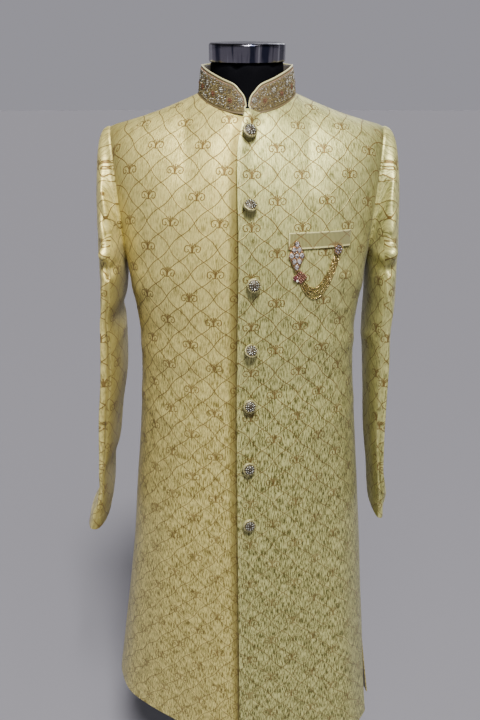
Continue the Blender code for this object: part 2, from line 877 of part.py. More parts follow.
def chain_path(index):
    """Chain from the drop to the clasp; the lower ones start and end further out."""
    start_x = CHAIN_START[0] - CHAIN_PITCH * index
    end_x = CHAIN_END[0] + CHAIN_PITCH * index
    sag = CHAIN_SAG + CHAIN_SAG_STEP * index
    points = []
    for i in range(CHAIN_POINTS):
        k = i / (CHAIN_POINTS - 1)
        x = blend(start_x, end_x, k)
        z = blend(CHAIN_START[1], CHAIN_END[1], k) - sag * 4 * k * (1 - k)
        points.append(on_front(x, z, CHAIN_RADIUS + CHAIN_GAP))
    return points


def chains():
    for i in range(CHAIN_COUNT):
        tube(f"brooch_chain_{i + 1}", chain_path(i), CHAIN_RADIUS, "gilt", 1)


# Dress form

def form_inset(face, share, level):
    """Distance from the coat's outer face down to the form."""
    z = body(face, share if face == "front" else 2 - share, level).z
    if level <= 1:
        if z < FORM_WAIST_Z:
            k = ease((z - FORM_BOTTOM_Z) / (FORM_WAIST_Z - FORM_BOTTOM_Z))
            room = blend(FORM_EASE_HIP, FORM_EASE_WAIST, k)
        else:
            k = ease((z - FORM_WAIST_Z) / (FORM_CHEST_Z - FORM_WAIST_Z))
            room = blend(FORM_EASE_WAIST, FORM_EASE_CHEST, k)
    else:
        room = FORM_EASE_CHEST * (1 - ease((level - 1) / 0.85)) + SHOULDER_REST
        room = max(room, FORM_EASE_THROAT * (1 - ease(share / NECK_SHARE)))
    return WALL + room


def form_row(level):
    """Closed ring of the form, from the front centre round by the wearer's left."""
    marks = shares()
    row = []
    for face, sign in (("front", 1), ("back", 1), ("back", -1), ("front", -1)):
        run = marks if (face == "front") == (sign == 1) else list(reversed(marks))
        for share in run:
            turn = sign * (share if face == "front" else 2 - share)
            inset = form_inset(face, share, level)
            point = body(face, turn, level) - body_normal(face, turn, level) * inset
            row.append(point)
    return row


def neck_ring(row, share):
    """Ring of the neck, from the torso's neckline up to the level top."""
    ring = []
    top = Vector((0, NECK_CENTRE_Y, NECK_TOP_Z))
    for point in row:
        angle = math.atan2(point.x, -(point.y - NECK_CENTRE_Y))
        spoke = Vector((math.sin(angle), -math.cos(angle), 0)) * NECK_RADIUS
        end = top + spoke
        end.z += spoke.y * math.tan(NECK_TILT)
        inward = 1 - (1 - share) ** 3
        spot = point.lerp(end, inward)
        spot.z = blend(point.z, end.z, share ** 1.3)
        ring.append(spot)
    return ring


def form_torso():
    bottom = (FORM_BOTTOM_Z - HEM_Z) / (UNDERARM_Z - HEM_Z)
    rows = [blend(bottom, 1.0, i / 7) for i in range(7)]
    rows += [level for level in levels() if level >= 1]
    work = bmesh.new()
    rings = [[work.verts.new(point) for point in form_row(level)] for level in rows]
    for vertex in rings[0]:
        vertex.co.z = FORM_BOTTOM_Z
    add_grid(work, rings, wrap=True)
    work.faces.new(list(reversed(rings[0])))
    neck = []
    marks = [90 * i / NECK_STEPS for i in range(NECK_STEPS * 4)]
    for turn in marks:
        signed = turn if turn <= 180 else turn - 360
        face = "front" if abs(signed) <= 90 else "back"
        share = abs(signed) / 90 * NECK_SHARE
        if face == "back":
            share = (180 - abs(signed)) / 90 * NECK_SHARE
        sign = 1 if signed >= 0 else -1
        place = sign * (share if face == "front" else 2 - share)
        point = body(face, place, 2.0)
        neck.append(point - body_normal(face, place, 2.0) * form_inset(face, share, 2.0))
    heights = (0.0, 0.10, 0.25, 0.45, 0.70, 1.0)
    collars = [[work.verts.new(p) for p in neck_ring(neck, k)] for k in heights]
    add_grid(work, collars, wrap=True)
    work.faces.new(collars[-1])
    bmesh.ops.remove_doubles(work, verts=work.verts, dist=0.0006)
    bmesh.ops.dissolve_degenerate(work, edges=work.edges, dist=0.0001)
    return close_mesh("form_torso", work, "form")


def form_cap():
    axis = Vector((0, -math.sin(NECK_TILT), math.cos(NECK_TILT)))
    foot = Vector((0, NECK_CENTRE_Y, NECK_TOP_Z)) + axis * SEAM_GAP
    profile = (
        (CAP_RADIUS - 0.001, 0.0),
        (CAP_RADIUS, 0.001),
        (CAP_RADIUS, CAP_HEIGHT - CAP_EDGE),
        (CAP_RADIUS - 0.3 * CAP_EDGE, CAP_HEIGHT - 0.3 * CAP_EDGE),
        (CAP_RADIUS - CAP_EDGE, CAP_HEIGHT),
        (CAP_RADIUS * 0.3, CAP_HEIGHT + 0.0015),
    )
    return turned("form_cap", profile, "chrome", foot, axis)


def stand():
    pole = (
        (POLE_RADIUS, BASE_HUB_TOP + SEAM_GAP),
        (POLE_RADIUS, FORM_BOTTOM_Z - SEAM_GAP),
    )
    turned("form_pole", pole, "chrome", (0, 0, 0), sides=12)
    base = (
        (BASE_RADIUS, 0.0),
        (BASE_RADIUS, 0.006),
        (BASE_RADIUS - 0.004, 0.009),
        (0.090, 0.014),
        (0.030, 0.018),
        (0.021, 0.024),
        (0.019, BASE_HUB_TOP),
    )
    turned("form_base", base, "base", (0, 0, 0), sides=32)


def build():
    clear_scene()
    front_right()
    front_left()
    back()
    sleeves()
    collar()
    collar_piping()
    pocket_welt()
    buttons()
    brooch()
    chains()
    form_torso()
    form_cap()
    stand()


build()
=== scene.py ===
# %% [markdown]
# A sherwani coat on a black dress form.
# The real coat is a long, straight, lined coat of silk brocade with a standing collar, worn here
# by a limbless form on a round base. The rigid frame that is loaded first gives every measure.
# Each panel of cloth is made again on the form of its own solid, with more rows, soft creases
# and a flat cut that the woven pattern follows. Everything is in metres, +Z is up and the front
# of the coat looks along -Y.

# %% Load the frame
import math
from collections import namedtuple

import bmesh
import bpy
import numpy as np
from mathutils import Matrix
from mathutils import Vector
from mathutils.bvhtree import BVHTree


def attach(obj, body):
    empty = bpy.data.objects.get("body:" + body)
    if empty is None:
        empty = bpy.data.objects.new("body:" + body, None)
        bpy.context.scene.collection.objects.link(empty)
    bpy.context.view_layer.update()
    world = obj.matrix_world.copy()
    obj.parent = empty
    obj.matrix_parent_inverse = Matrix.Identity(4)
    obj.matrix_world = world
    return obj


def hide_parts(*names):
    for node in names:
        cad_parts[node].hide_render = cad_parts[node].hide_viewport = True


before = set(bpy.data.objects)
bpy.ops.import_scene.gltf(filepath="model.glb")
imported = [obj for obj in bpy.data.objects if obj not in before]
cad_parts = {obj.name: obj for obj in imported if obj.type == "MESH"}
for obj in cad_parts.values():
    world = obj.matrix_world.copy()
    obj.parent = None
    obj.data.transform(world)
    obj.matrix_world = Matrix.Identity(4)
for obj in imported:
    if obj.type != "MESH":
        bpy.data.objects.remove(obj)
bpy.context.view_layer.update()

# %% [markdown]
# The camera stands a little above the collar and looks down at the coat, so that the skirt
# narrows toward the bottom of the picture. The lens was chosen so that the round openings of the
# cap, the collar and the hem look right, and the tilt goes with the lens. The camera comes first,
# so that each trial shows the same view.

# %% Camera
CAMERA_AT = (-0.011, -1.278, 1.4785)
CAMERA_PITCH = 19.6
CAMERA_LENS = 38.0
CAMERA_SENSOR = 36.0
CAMERA_NEAR = 0.05


def add_object(name, data):
    """New object in the scene, at the origin."""
    item = bpy.data.objects.new(name, data)
    bpy.context.collection.objects.link(item)
    return item


view_data = bpy.data.cameras.new("photo_view")
view_data.lens = CAMERA_LENS
view_data.sensor_width = CAMERA_SENSOR
view_data.clip_start = CAMERA_NEAR
camera = add_object("photo_view", view_data)
camera.location = CAMERA_AT
camera.rotation_euler = (math.radians(90 - CAMERA_PITCH), 0, 0)
bpy.context.scene.camera = camera
print("camera at", CAMERA_AT, "pitch", CAMERA_PITCH)

# %% [markdown]
# The coat's measures are the same named tables that shaped the rigid solids. A row of a table is
# one height of the body or of a sleeve, and the surface runs smoothly between the rows.

# %% Measures of the body
WALL = 0.0020
SEAM_GAP = 0.0003
LAYER_GAP = 0.0008
REST_GAP = 0.0005
STEP = 0.001
HEM_Z = 0.306
HEM_LIFT_RIGHT = 0.024
SLIT_TOP_Z = 0.640
UNDERARM_Z = 1.200
SWING_TOP_Z = 0.800
SKIRT_SWING = 0.13
Ring = namedtuple("Ring", "z right left front back square")
BODY = (
    Ring(0.306, 0.266, 0.252, 0.170, 0.158, 1.85),
    Ring(0.430, 0.248, 0.236, 0.164, 0.150, 1.95),
    Ring(0.560, 0.229, 0.225, 0.157, 0.141, 2.05),
    Ring(0.680, 0.213, 0.217, 0.151, 0.133, 2.15),
    Ring(0.800, 0.202, 0.207, 0.145, 0.126, 2.20),
    Ring(0.910, 0.191, 0.197, 0.139, 0.117, 2.25),
    Ring(1.020, 0.184, 0.188, 0.134, 0.109, 2.30),
    Ring(1.100, 0.185, 0.187, 0.136, 0.110, 2.35),
    Ring(1.200, 0.199, 0.199, 0.140, 0.118, 2.40),
)
SLIT_BACK_RIGHT = 0.035
SLIT_FRONT_LEFT = -0.20
SLIT_BACK_LEFT = 0.03
Fold = namedtuple("Fold", "turn width out top")
SKIRT_FOLDS = (
    Fold(-0.66, 0.13, 0.006, 0.86),
    Fold(-0.34, 0.10, -0.004, 0.70),
    Fold(0.30, 0.12, -0.004, 0.76),
    Fold(0.58, 0.11, 0.006, 0.90),
    Fold(1.28, 0.10, -0.006, 0.80),
    Fold(1.48, 0.11, 0.008, 0.95),
    Fold(1.80, 0.10, -0.006, 0.85),
    Fold(2.05, 0.12, 0.007, 1.00),
    Fold(2.36, 0.11, -0.007, 0.82),
    Fold(2.62, 0.12, 0.007, 0.92),
)
Edge = namedtuple("Edge", "z x")
FRONT_EDGE = (
    Edge(0.306, -0.010),
    Edge(0.420, -0.011),
    Edge(0.960, -0.016),
    Edge(1.250, -0.013),
    Edge(1.390, -0.014),
    Edge(1.444, -0.004),
)
UNDERLAP = 0.028
DIP_START = 0.060
DIP_END = 0.022
NECK_HALF = 0.0765
NECK_FRONT = 0.088
NECK_BACK = 0.066
NECK_Z = 1.4735
NECK_DROP = 0.0295
NECK_RISE = 0.008
NECK_SHARE = 0.34
SHOULDER_X = 0.2185
SHOULDER_Z = 1.4245
SHOULDER_HOLLOW = 0.004
ARMHOLE_FRONT = 0.068
ARMHOLE_BACK = 0.073
BLADE_OUT = 0.010
SPREAD_BEND = 0.45
TOP_SPREAD_POWER = 20
WIDTH_POWER = 1.5
SWELL_POWER = 2.6
FULL_POWER = 2.3
SHOULDER_ROUND = 1.25
CHEST_ROUND = 2.0
SEARCH_HALF = 0.9
SEARCH_STEPS = 40

# %% Smooth curves through a table
def ease(value):
    """Smooth step from 0 to 1."""
    value = min(max(value, 0.0), 1.0)
    return value * value * (3 - 2 * value)


def blend(first, last, share):
    return first + (last - first) * share


def smooth(rows, name, place):
    """One named column of a table, read between its rows on a smooth curve."""
    keys = [row[0] for row in rows]
    values = [getattr(row, name) for row in rows]
    place = min(max(place, keys[0]), keys[-1])
    low = max(i for i in range(len(keys) - 1) if place >= keys[i])
    slopes = []
    for i in (low, low + 1):
        before = max(i - 1, 0)
        after = min(i + 1, len(keys) - 1)
        slopes.append((values[after] - values[before]) / (keys[after] - keys[before]))
    gap = keys[low + 1] - keys[low]
    k = (place - keys[low]) / gap
    rise = values[low + 1] - values[low]
    bend = k * (1 - k) * ((slopes[0] * gap - rise) * (1 - k) - (slopes[1] * gap - rise) * k)
    return values[low] + rise * k + bend

# %% [markdown]
# The body is one surface with two parts. Below the underarm each height is a rounded oval that
# flares toward the hem. Above it the surface leans in to the neckline and the shoulder seam, and
# leaves the armholes open. A place on it is given by quarter turns from the front centre and by
# a level: 0 at the hem, 1 at the underarm and 2 at the top.

# %% Surface of the body
def around(turn):
    """Quarter turns from the front centre, brought to -2..2; the front is within -1..1."""
    return (turn + 2) % 4 - 2


def fold_out(turn, z):
    out = 0.0
    for fold in SKIRT_FOLDS:
        away = around(turn - fold.turn)
        share = ease((fold.top - z) / (fold.top - HEM_Z))
        out += fold.out * share * math.exp(-((away / fold.width) ** 2))
    return out


def lower(turn, level):
    """Point of the body between the hem, level 0, and the underarm, level 1."""
    side = around(turn)
    lift = HEM_LIFT_RIGHT * ease(-math.sin(math.radians(90 * side)) * 1.2)
    z = blend(HEM_Z + lift, UNDERARM_Z, level)
    across = math.sin(math.radians(90 * side))
    half = smooth(BODY, "left" if across > 0 else "right", z)
    square = smooth(BODY, "square", z)
    reach = max(1 - abs(across) ** square, 0.0) ** (1 / square)
    if abs(side) <= 1:
        y = -smooth(BODY, "front", z) * reach
    else:
        y = smooth(BODY, "back", z) * reach
    point = Vector((half * across, y, z))
    swing = SKIRT_SWING * ease((SWING_TOP_Z - z) / (SWING_TOP_Z - HEM_Z))
    point.y -= swing * point.x
    flat = Vector((point.x, point.y, 0))
    return point + flat.normalized() * fold_out(turn, z)


def neck_point(turn):
    """Point of the neckline, in degrees from the front centre."""
    angle = math.radians(turn)
    x = NECK_HALF * math.sin(angle)
    forward = math.cos(angle)
    if forward > 0:
        return Vector((x, -NECK_FRONT * forward, NECK_Z - NECK_DROP * forward ** 1.5))
    return Vector((x, -NECK_BACK * forward, NECK_Z + NECK_RISE * (-forward) ** 1.5))


def top_line(face, side, share):
    """Upper edge of a panel: neckline first, then the shoulder seam out to the sleeve."""
    if share < NECK_SHARE - 1e-6:
        turn = 90 * share / NECK_SHARE
        if face == "back":
            turn = 180 - turn
        return neck_point(turn * side)
    k = (share - NECK_SHARE) / (1 - NECK_SHARE)
    x = blend(NECK_HALF, SHOULDER_X, k)
    z = blend(NECK_Z, SHOULDER_Z, k) - SHOULDER_HOLLOW * math.sin(math.pi * k)
    y = -SEAM_GAP / 2 if face == "front" else SEAM_GAP / 2
    return Vector((x * side, y, z))


def upper(face, turn, rise):
    """Point of a panel between the underarm, rise 0, and its upper edge, rise 1."""
    side = around(turn)
    sign = 1 if side >= 0 else -1
    share = abs(side) if face == "front" else 2 - abs(side)
    share = min(share, 1.0)
    base = lower(sign * (share if face == "front" else 2 - share), 1.0)
    top = top_line(face, sign, share)
    edge = abs(lower(sign, 1.0).x)
    even = sign * share * (1 + SPREAD_BEND - SPREAD_BEND * share)
    spread = blend(base.x / edge, even, 1 - (1 - rise) ** 2)
    spread = blend(spread, top.x / SHOULDER_X, rise ** TOP_SPREAD_POWER)
    x = spread * blend(edge, SHOULDER_X, rise ** WIDTH_POWER)
    z = blend(base.z, top.z, rise)
    middle = lower(0.0 if face == "front" else 2.0, 1.0).y
    hole = -ARMHOLE_FRONT if face == "front" else ARMHOLE_BACK
    chest = hole + (middle - hole) * (1 - share ** 2)
    swell = max(1 - (1 - rise) ** SWELL_POWER, 0.0) ** (0.5 + min(3.0 * (1 - share), 1.3))
    power = blend(SHOULDER_ROUND, CHEST_ROUND, ease(share / 0.8))
    full = max(1 - rise ** FULL_POWER, 0.0) ** (1 / power)
    y = blend(top.y, blend(base.y, chest, swell), full)
    under = lower(sign * (share if face == "front" else 2 - share), 1.0 - STEP)
    slope = (base.y - under.y) / (base.z - under.z)
    y += slope * (z - base.z) * (1 - share ** 4) * (1 - rise) ** 3
    if face == "back":
        y += BLADE_OUT * (1 - share ** 2) * math.sin(math.pi * rise) ** 2
    return Vector((x, y, z))


def body(face, turn, level):
    """Outer surface of a panel, level 0 at the hem, 1 at the underarm, 2 at the top."""
    if level <= 1:
        return lower(turn, level)
    return upper(face, turn, level - 1)


def seam_normal(sign):
    """Upward direction square to the shoulder seam."""
    along = Vector((SHOULDER_X - NECK_HALF, 0, SHOULDER_Z - NECK_Z)).normalized()
    return Vector((-along.z * sign, 0, along.x))


def body_normal(face, turn, level):
    side = around(turn)
    sign = 1 if side >= 0 else -1
    share = abs(side) if face == "front" else 2 - abs(side)
    if level >= 2 and share >= NECK_SHARE - 1e-6:
        return seam_normal(sign)
    if level <= 1:
        top = min(level + STEP, 1.0)
        up = lower(turn, top) - lower(turn, top - 2 * STEP)
        along = lower(turn + STEP, level) - lower(turn - STEP, level)
        if abs(abs(side) - 1) < 1e-6 and level > 0.6:
            return Vector((sign, 0, 0))
        return along.cross(up).normalized()
    high = min(level + STEP, 2.0)
    up = body(face, turn, high) - body(face, turn, high - 2 * STEP)
    inward = -STEP if side >= 0 else STEP
    if face == "back":
        inward = -inward
    if share < 0.01:
        along = body(face, turn + STEP, level) - body(face, turn - STEP, level)
    elif inward < 0:
        along = body(face, turn, level) - body(face, turn - 2 * STEP, level)
    else:
        along = body(face, turn + 2 * STEP, level) - body(face, turn, level)
    return along.cross(up).normalized()


def turn_at(face, level, x):
    """Quarter turns at which the panel has a given x, close to the front centre."""
    low, high = -SEARCH_HALF, SEARCH_HALF
    for _ in range(SEARCH_STEPS):
        middle = (low + high) / 2
        if body(face, middle, level).x < x:
            low = middle
        else:
            high = middle
    return (low + high) / 2


def slit(level):
    """Opening of the side slits, 1 at the hem and 0 above their top."""
    z = blend(HEM_Z, UNDERARM_Z, level)
    return ease((SLIT_TOP_Z - z) / (SLIT_TOP_Z - HEM_Z))


# %% [markdown]
# Cloth that hangs on a form is never quite even. The larger skirt folds are in the table above,
# and these smaller creases are listed one by one: a soft ridge or trough, with its place, its
# slant and its size. They fade out toward the seams, so that neighbouring panels still meet. The
# hidden back has creases of the same kind.

# %% Creases of the body
Crease = namedtuple("Crease", "x z slant long wide out")
CREASES = {
    "front": (
        Crease(-0.150, 1.290, 62, 0.075, 0.016, 0.0035),
        Crease(-0.118, 1.262, 55, 0.060, 0.012, -0.0025),
        Crease(-0.160, 1.180, 30, 0.050, 0.012, 0.0030),
        Crease(-0.120, 1.110, 14, 0.060, 0.014, -0.0025),
        Crease(-0.140, 1.060, -8, 0.050, 0.012, 0.0025),
        Crease(-0.070, 1.035, 6, 0.060, 0.013, -0.0020),
        Crease(-0.150, 0.965, -24, 0.055, 0.014, 0.0025),
        Crease(-0.100, 0.900, 80, 0.100, 0.020, 0.0025),
        Crease(-0.055, 0.860, 84, 0.120, 0.016, -0.0020),
        Crease(-0.140, 0.720, 78, 0.130, 0.022, 0.0040),
        Crease(-0.075, 0.600, 86, 0.150, 0.020, -0.0030),
        Crease(-0.160, 0.500, 72, 0.120, 0.024, 0.0045),
        Crease(0.135, 1.300, -60, 0.070, 0.015, 0.0035),
        Crease(0.105, 1.345, -48, 0.060, 0.013, -0.0020),
        Crease(0.165, 1.190, -34, 0.055, 0.013, 0.0035),
        Crease(0.120, 1.135, -28, 0.070, 0.014, -0.0025),
        Crease(0.150, 1.085, -16, 0.060, 0.013, 0.0030),
        Crease(0.060, 1.150, -40, 0.050, 0.012, 0.0020),
        Crease(0.045, 1.070, 18, 0.045, 0.010, 0.0020),
        Crease(0.090, 1.020, 8, 0.065, 0.014, -0.0022),
        Crease(0.150, 0.950, 20, 0.055, 0.014, 0.0028),
        Crease(0.075, 0.900, 86, 0.110, 0.018, 0.0022),
        Crease(0.140, 0.800, 94, 0.120, 0.020, -0.0028),
        Crease(0.100, 0.640, 96, 0.150, 0.022, 0.0035),
        Crease(0.165, 0.520, 100, 0.120, 0.022, 0.0040),
        Crease(0.050, 0.480, 90, 0.130, 0.018, -0.0025),
    ),
    "back": (
        Crease(-0.130, 1.300, 58, 0.080, 0.018, 0.0035),
        Crease(0.125, 1.310, -54, 0.075, 0.017, 0.0035),
        Crease(-0.060, 1.390, 12, 0.070, 0.014, -0.0020),
        Crease(0.050, 1.380, -10, 0.060, 0.013, -0.0020),
        Crease(-0.110, 1.100, 10, 0.070, 0.016, 0.0030),
        Crease(-0.080, 1.045, -6, 0.080, 0.015, -0.0028),
        Crease(0.100, 1.075, -12, 0.075, 0.016, 0.0032),
        Crease(0.070, 1.015, 5, 0.080, 0.015, -0.0025),
        Crease(-0.120, 0.960, -20, 0.060, 0.015, 0.0028),
        Crease(0.125, 0.950, 22, 0.060, 0.015, 0.0030),
        Crease(-0.070, 0.800, 84, 0.130, 0.020, 0.0030),
        Crease(0.060, 0.760, 95, 0.140, 0.020, -0.0028),
        Crease(-0.130, 0.620, 80, 0.150, 0.024, -0.0030),
        Crease(0.130, 0.600, 98, 0.150, 0.024, 0.0040),
        Crease(0.010, 0.540, 89, 0.160, 0.022, 0.0030),
        Crease(-0.060, 0.430, 88, 0.110, 0.020, 0.0035),
    ),
}


def crease_out(rows, x, z):
    """Height of all creases in a table at a place."""
    out = 0.0
    for crease in rows:
        angle = math.radians(crease.slant)
        along = (x - crease.x) * math.cos(angle) + (z - crease.z) * math.sin(angle)
        cross = (z - crease.z) * math.cos(angle) - (x - crease.x) * math.sin(angle)
        away = (along / crease.long) ** 2 + (cross / crease.wide) ** 2
        if away < 9:
            out += crease.out * math.exp(-away)
    return out


print("creases on the front and back:", len(CREASES["front"]), len(CREASES["back"]))

# %% [markdown]
# A piece of cloth is made as two grids of points, the face and the lining, joined along all four
# edges. Its flat cut is measured on the face: lengths across and along the cloth, which become
# the UV map. One unit of that map is one repeat of the woven pattern, so the pattern keeps its
# real size and bends with the cloth.

# %% Cloth helpers
REPEAT = 0.078


def grid_normals(grid, outward):
    """Directions square to a grid of points; outward is a rough direction for each point."""
    along = np.gradient(grid, axis=1)
    up = np.gradient(grid, axis=0)
    normal = np.cross(along, up)
    normal /= np.maximum(np.linalg.norm(normal, axis=2, keepdims=True), 1e-12)
    if (normal * outward).sum() < 0:
        normal = -normal
    return normal


def flat_cut(grid, centre, whole=False):
    """Lengths across and along the cloth at each point, from its centre column and first row.

    A whole length also counts the sideways part of each step along."""
    step = np.diff(grid, axis=1)
    across = np.hypot(step[..., 0], step[..., 1])
    across = np.concatenate([np.zeros((len(grid), 1)), np.cumsum(across, axis=1)], axis=1)
    across -= across[:, [centre]]
    step = np.diff(grid, axis=0)
    along = np.linalg.norm(step, axis=2) if whole else np.hypot(step[..., 1], step[..., 2])
    along = np.concatenate([np.zeros((1, grid.shape[1])), np.cumsum(along, axis=0)], axis=0)
    return np.stack([across, along], axis=2)


def quads_of(rows, columns, first):
    return [(first + i * columns + j, first + i * columns + j + 1,
             first + (i + 1) * columns + j + 1, first + (i + 1) * columns + j)
            for i in range(rows - 1) for j in range(columns - 1)]


def volume_of(points, faces):
    total = 0.0
    for face in faces:
        for a, b in zip(face[1:], face[2:]):
            total += np.dot(points[face[0]], np.cross(points[a], points[b])) / 6
    return total


def make_mesh(name, points, faces, finishes, kinds=None, uv=None, sharp=55):
    """Object from points and faces, turned outward, smooth, with its finishes and UV map."""
    points = np.asarray(points, float)
    if volume_of(points, faces) < 0:
        faces = [face[::-1] for face in faces]
    mesh = bpy.data.meshes.new(name)
    mesh.from_pydata(points.tolist(), [], faces)
    for finish in finishes:
        mesh.materials.append(finish)
    if kinds is not None:
        mesh.polygons.foreach_set("material_index", kinds)
    if uv is not None:
        layer = mesh.uv_layers.new(name="cut")
        corner = np.zeros(len(mesh.loops), int)
        mesh.loops.foreach_get("vertex_index", corner)
        layer.data.foreach_set("uv", np.asarray(uv, np.float32)[corner].ravel())
    mesh.shade_smooth()
    mesh.set_sharp_from_angle(angle=math.radians(sharp))
    mesh.update()
    return add_object(name, mesh)


def cloth_piece(name, face, lining, cut, finishes):
    """Closed piece of cloth between its face grid and its lining grid."""
    rows, columns = face.shape[:2]
    count = rows * columns
    outer = quads_of(rows, columns, 0)
    inner = [quad[::-1] for quad in quads_of(rows, columns, count)]
    rim = list(range(columns))
    rim += [i * columns + columns - 1 for i in range(1, rows)]
    rim += [(rows - 1) * columns + j for j in range(columns - 2, -1, -1)]
    rim += [i * columns for i in range(rows - 2, -1, -1)]
    edge = [(b, a, a + count, b + count) for a, b in zip(rim, rim[1:])]
    points = np.concatenate([face.reshape(-1, 3), lining.reshape(-1, 3)])
    uv = np.concatenate([cut.reshape(-1, 2)] * 2) / REPEAT
    kinds = [0] * len(outer) + [1] * len(inner) + [0] * len(edge)
    return make_mesh(name, points, outer + inner + edge, finishes, kinds, uv)


def belongs(piece, slot, *nodes):
    """The piece rides on the root and stands for CAD nodes, which it hides. The slot is not used.
    """
    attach(piece, "root")
    if nodes:
        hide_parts(*nodes)
    print(piece.name, "faces:", len(piece.data.polygons))
    return piece

# %% [markdown]
# The cloth is a pale gold silk with a trellis of thin brown lines. The lines are two families of
# waves that cross, so that round and pinched cells take turns. At every second crossing sits a
# small ornament: a stem with a three-pointed crown between two scrolls. The trellis comes from
# two sines, and the ornament from a short chart of strokes, drawn in millimetres. The
# shader measures how far a point is from the nearest stroke, so the pattern stays crisp at any
# distance, and no picture is needed.

# %% Node helpers
def wire(tree, value, socket):
    if isinstance(value, (int, float, tuple, str)):
        socket.default_value = value
    else:
        tree.links.new(value, socket)


def add_node(tree, kind, **sockets):
    """New node; each socket takes a value or an output, with _ for a space in its name."""
    node = tree.nodes.new(kind)
    for name, value in sockets.items():
        wire(tree, value, node.inputs[name.replace("_", " ")])
    return node


def calc(tree, operation, *values, clamp=False):
    node = tree.nodes.new("ShaderNodeMath")
    node.operation = operation
    node.use_clamp = clamp
    for value, socket in zip(values, node.inputs):
        wire(tree, value, socket)
    return node.outputs[0]


def vector_calc(tree, operation, *values, scale=None):
    node = tree.nodes.new("ShaderNodeVectorMath")
    node.operation = operation
    for value, socket in zip(values, node.inputs):
        wire(tree, value, socket)
    if scale is not None:
        wire(tree, scale, node.inputs["Scale"])
    single = operation in ("DOT_PRODUCT", "DISTANCE", "LENGTH")
    return node.outputs["Value" if single else "Vector"]


def soft_step(tree, value, start, end, low=0.0, high=1.0):
    """Smooth change from low to high while value goes from start to end."""
    node = add_node(tree, "ShaderNodeMapRange", From_Min=start, From_Max=end, To_Min=low,
                    To_Max=high, Value=value)
    node.interpolation_type = "SMOOTHSTEP"
    return node.outputs["Result"]


def mix_colour(tree, share, first, second):
    node = tree.nodes.new("ShaderNodeMix")
    node.data_type = "RGBA"
    wire(tree, share, node.inputs[0])
    wire(tree, first, node.inputs[6])
    wire(tree, second, node.inputs[7])
    return node.outputs[2]


def noise(tree, place, scale, detail=2.0, rough=0.5):
    return add_node(tree, "ShaderNodeTexNoise", Scale=scale, Detail=detail, Roughness=rough,
                    Vector=place).outputs["Fac"]


def new_finish(name, colour, rough, metal=0.0, **extras):
    """Principled finish; extras set further sockets by their name with _ for a space."""
    finish = bpy.data.materials.new(name)
    finish.use_nodes = True
    shader = finish.node_tree.nodes["Principled BSDF"]
    shader.inputs["Base Color"].default_value = (*colour, 1.0)
    shader.inputs["Roughness"].default_value = rough
    shader.inputs["Metallic"].default_value = metal
    for key, value in extras.items():
        shader.inputs[key.replace("_", " ")].default_value = value
    return finish, finish.node_tree, shader


def uv_place(tree):
    node = tree.nodes.new("ShaderNodeUVMap")
    node.uv_map = "cut"
    return node.outputs["UV"]


def object_place(tree):
    return tree.nodes.new("ShaderNodeTexCoord").outputs["Object"]


def split(tree, value):
    """The three parts of a vector."""
    return add_node(tree, "ShaderNodeSeparateXYZ", Vector=value).outputs


def stretched_noise(tree, place, stretch, detail=2.0, rough=0.5):
    """Noise with its own scale along each direction."""
    return noise(tree, vector_calc(tree, "MULTIPLY", place, stretch), 1.0, detail, rough)


def named_share(tree, name):
    """A number that is kept on each point of the mesh."""
    node = tree.nodes.new("ShaderNodeAttribute")
    node.attribute_name = name
    return node.outputs["Fac"]


def add_bump(tree, shader, height, strength, distance):
    node = add_node(tree, "ShaderNodeBump", Strength=strength, Distance=distance, Height=height)
    tree.links.new(node.outputs["Normal"], shader.inputs["Normal"])


def paint(tree, shader, colour):
    tree.links.new(colour, shader.inputs["Base Color"])

# %% Chart of the woven ornament
SCROLL = ((0.6, -0.8), (2.4, 2.4), (5.2, 4.9), (8.8, 5.4), (11.9, 3.5), (12.9, 0.0),
          (11.6, -3.7), (8.8, -5.0), (6.4, -3.7), (6.2, -1.0), (8.2, 0.3))
CROWN = (((0.0, -5.6), (0.0, 8.8)), ((0.7, 2.6), (3.3, 8.0)), ((0.9, -4.6), (1.1, 2.6)),
         ((0.0, -5.6), (3.0, -5.8)), ((3.0, -5.8), (3.9, -4.2)))
LINE_HALF = 0.66
STROKE_HALF = 0.72
LINE_WAVE = 0.065
CLEAR_ROUND = 6.2
CRISP = 0.2


def stroke_distance(tree, place, first, last):
    """Distance from a place to a straight stroke."""
    run = Vector(last) - Vector(first)
    reach = run / run.length_squared
    offset = vector_calc(tree, "SUBTRACT", place, (*first, 0.0))
    share = vector_calc(tree, "DOT_PRODUCT", offset, (reach.x, reach.y, 0.0))
    share = calc(tree, "ADD", share, 0.0, clamp=True)
    nearest = vector_calc(tree, "SCALE", (run.x, run.y, 0.0), scale=share)
    return vector_calc(tree, "DISTANCE", offset, nearest)


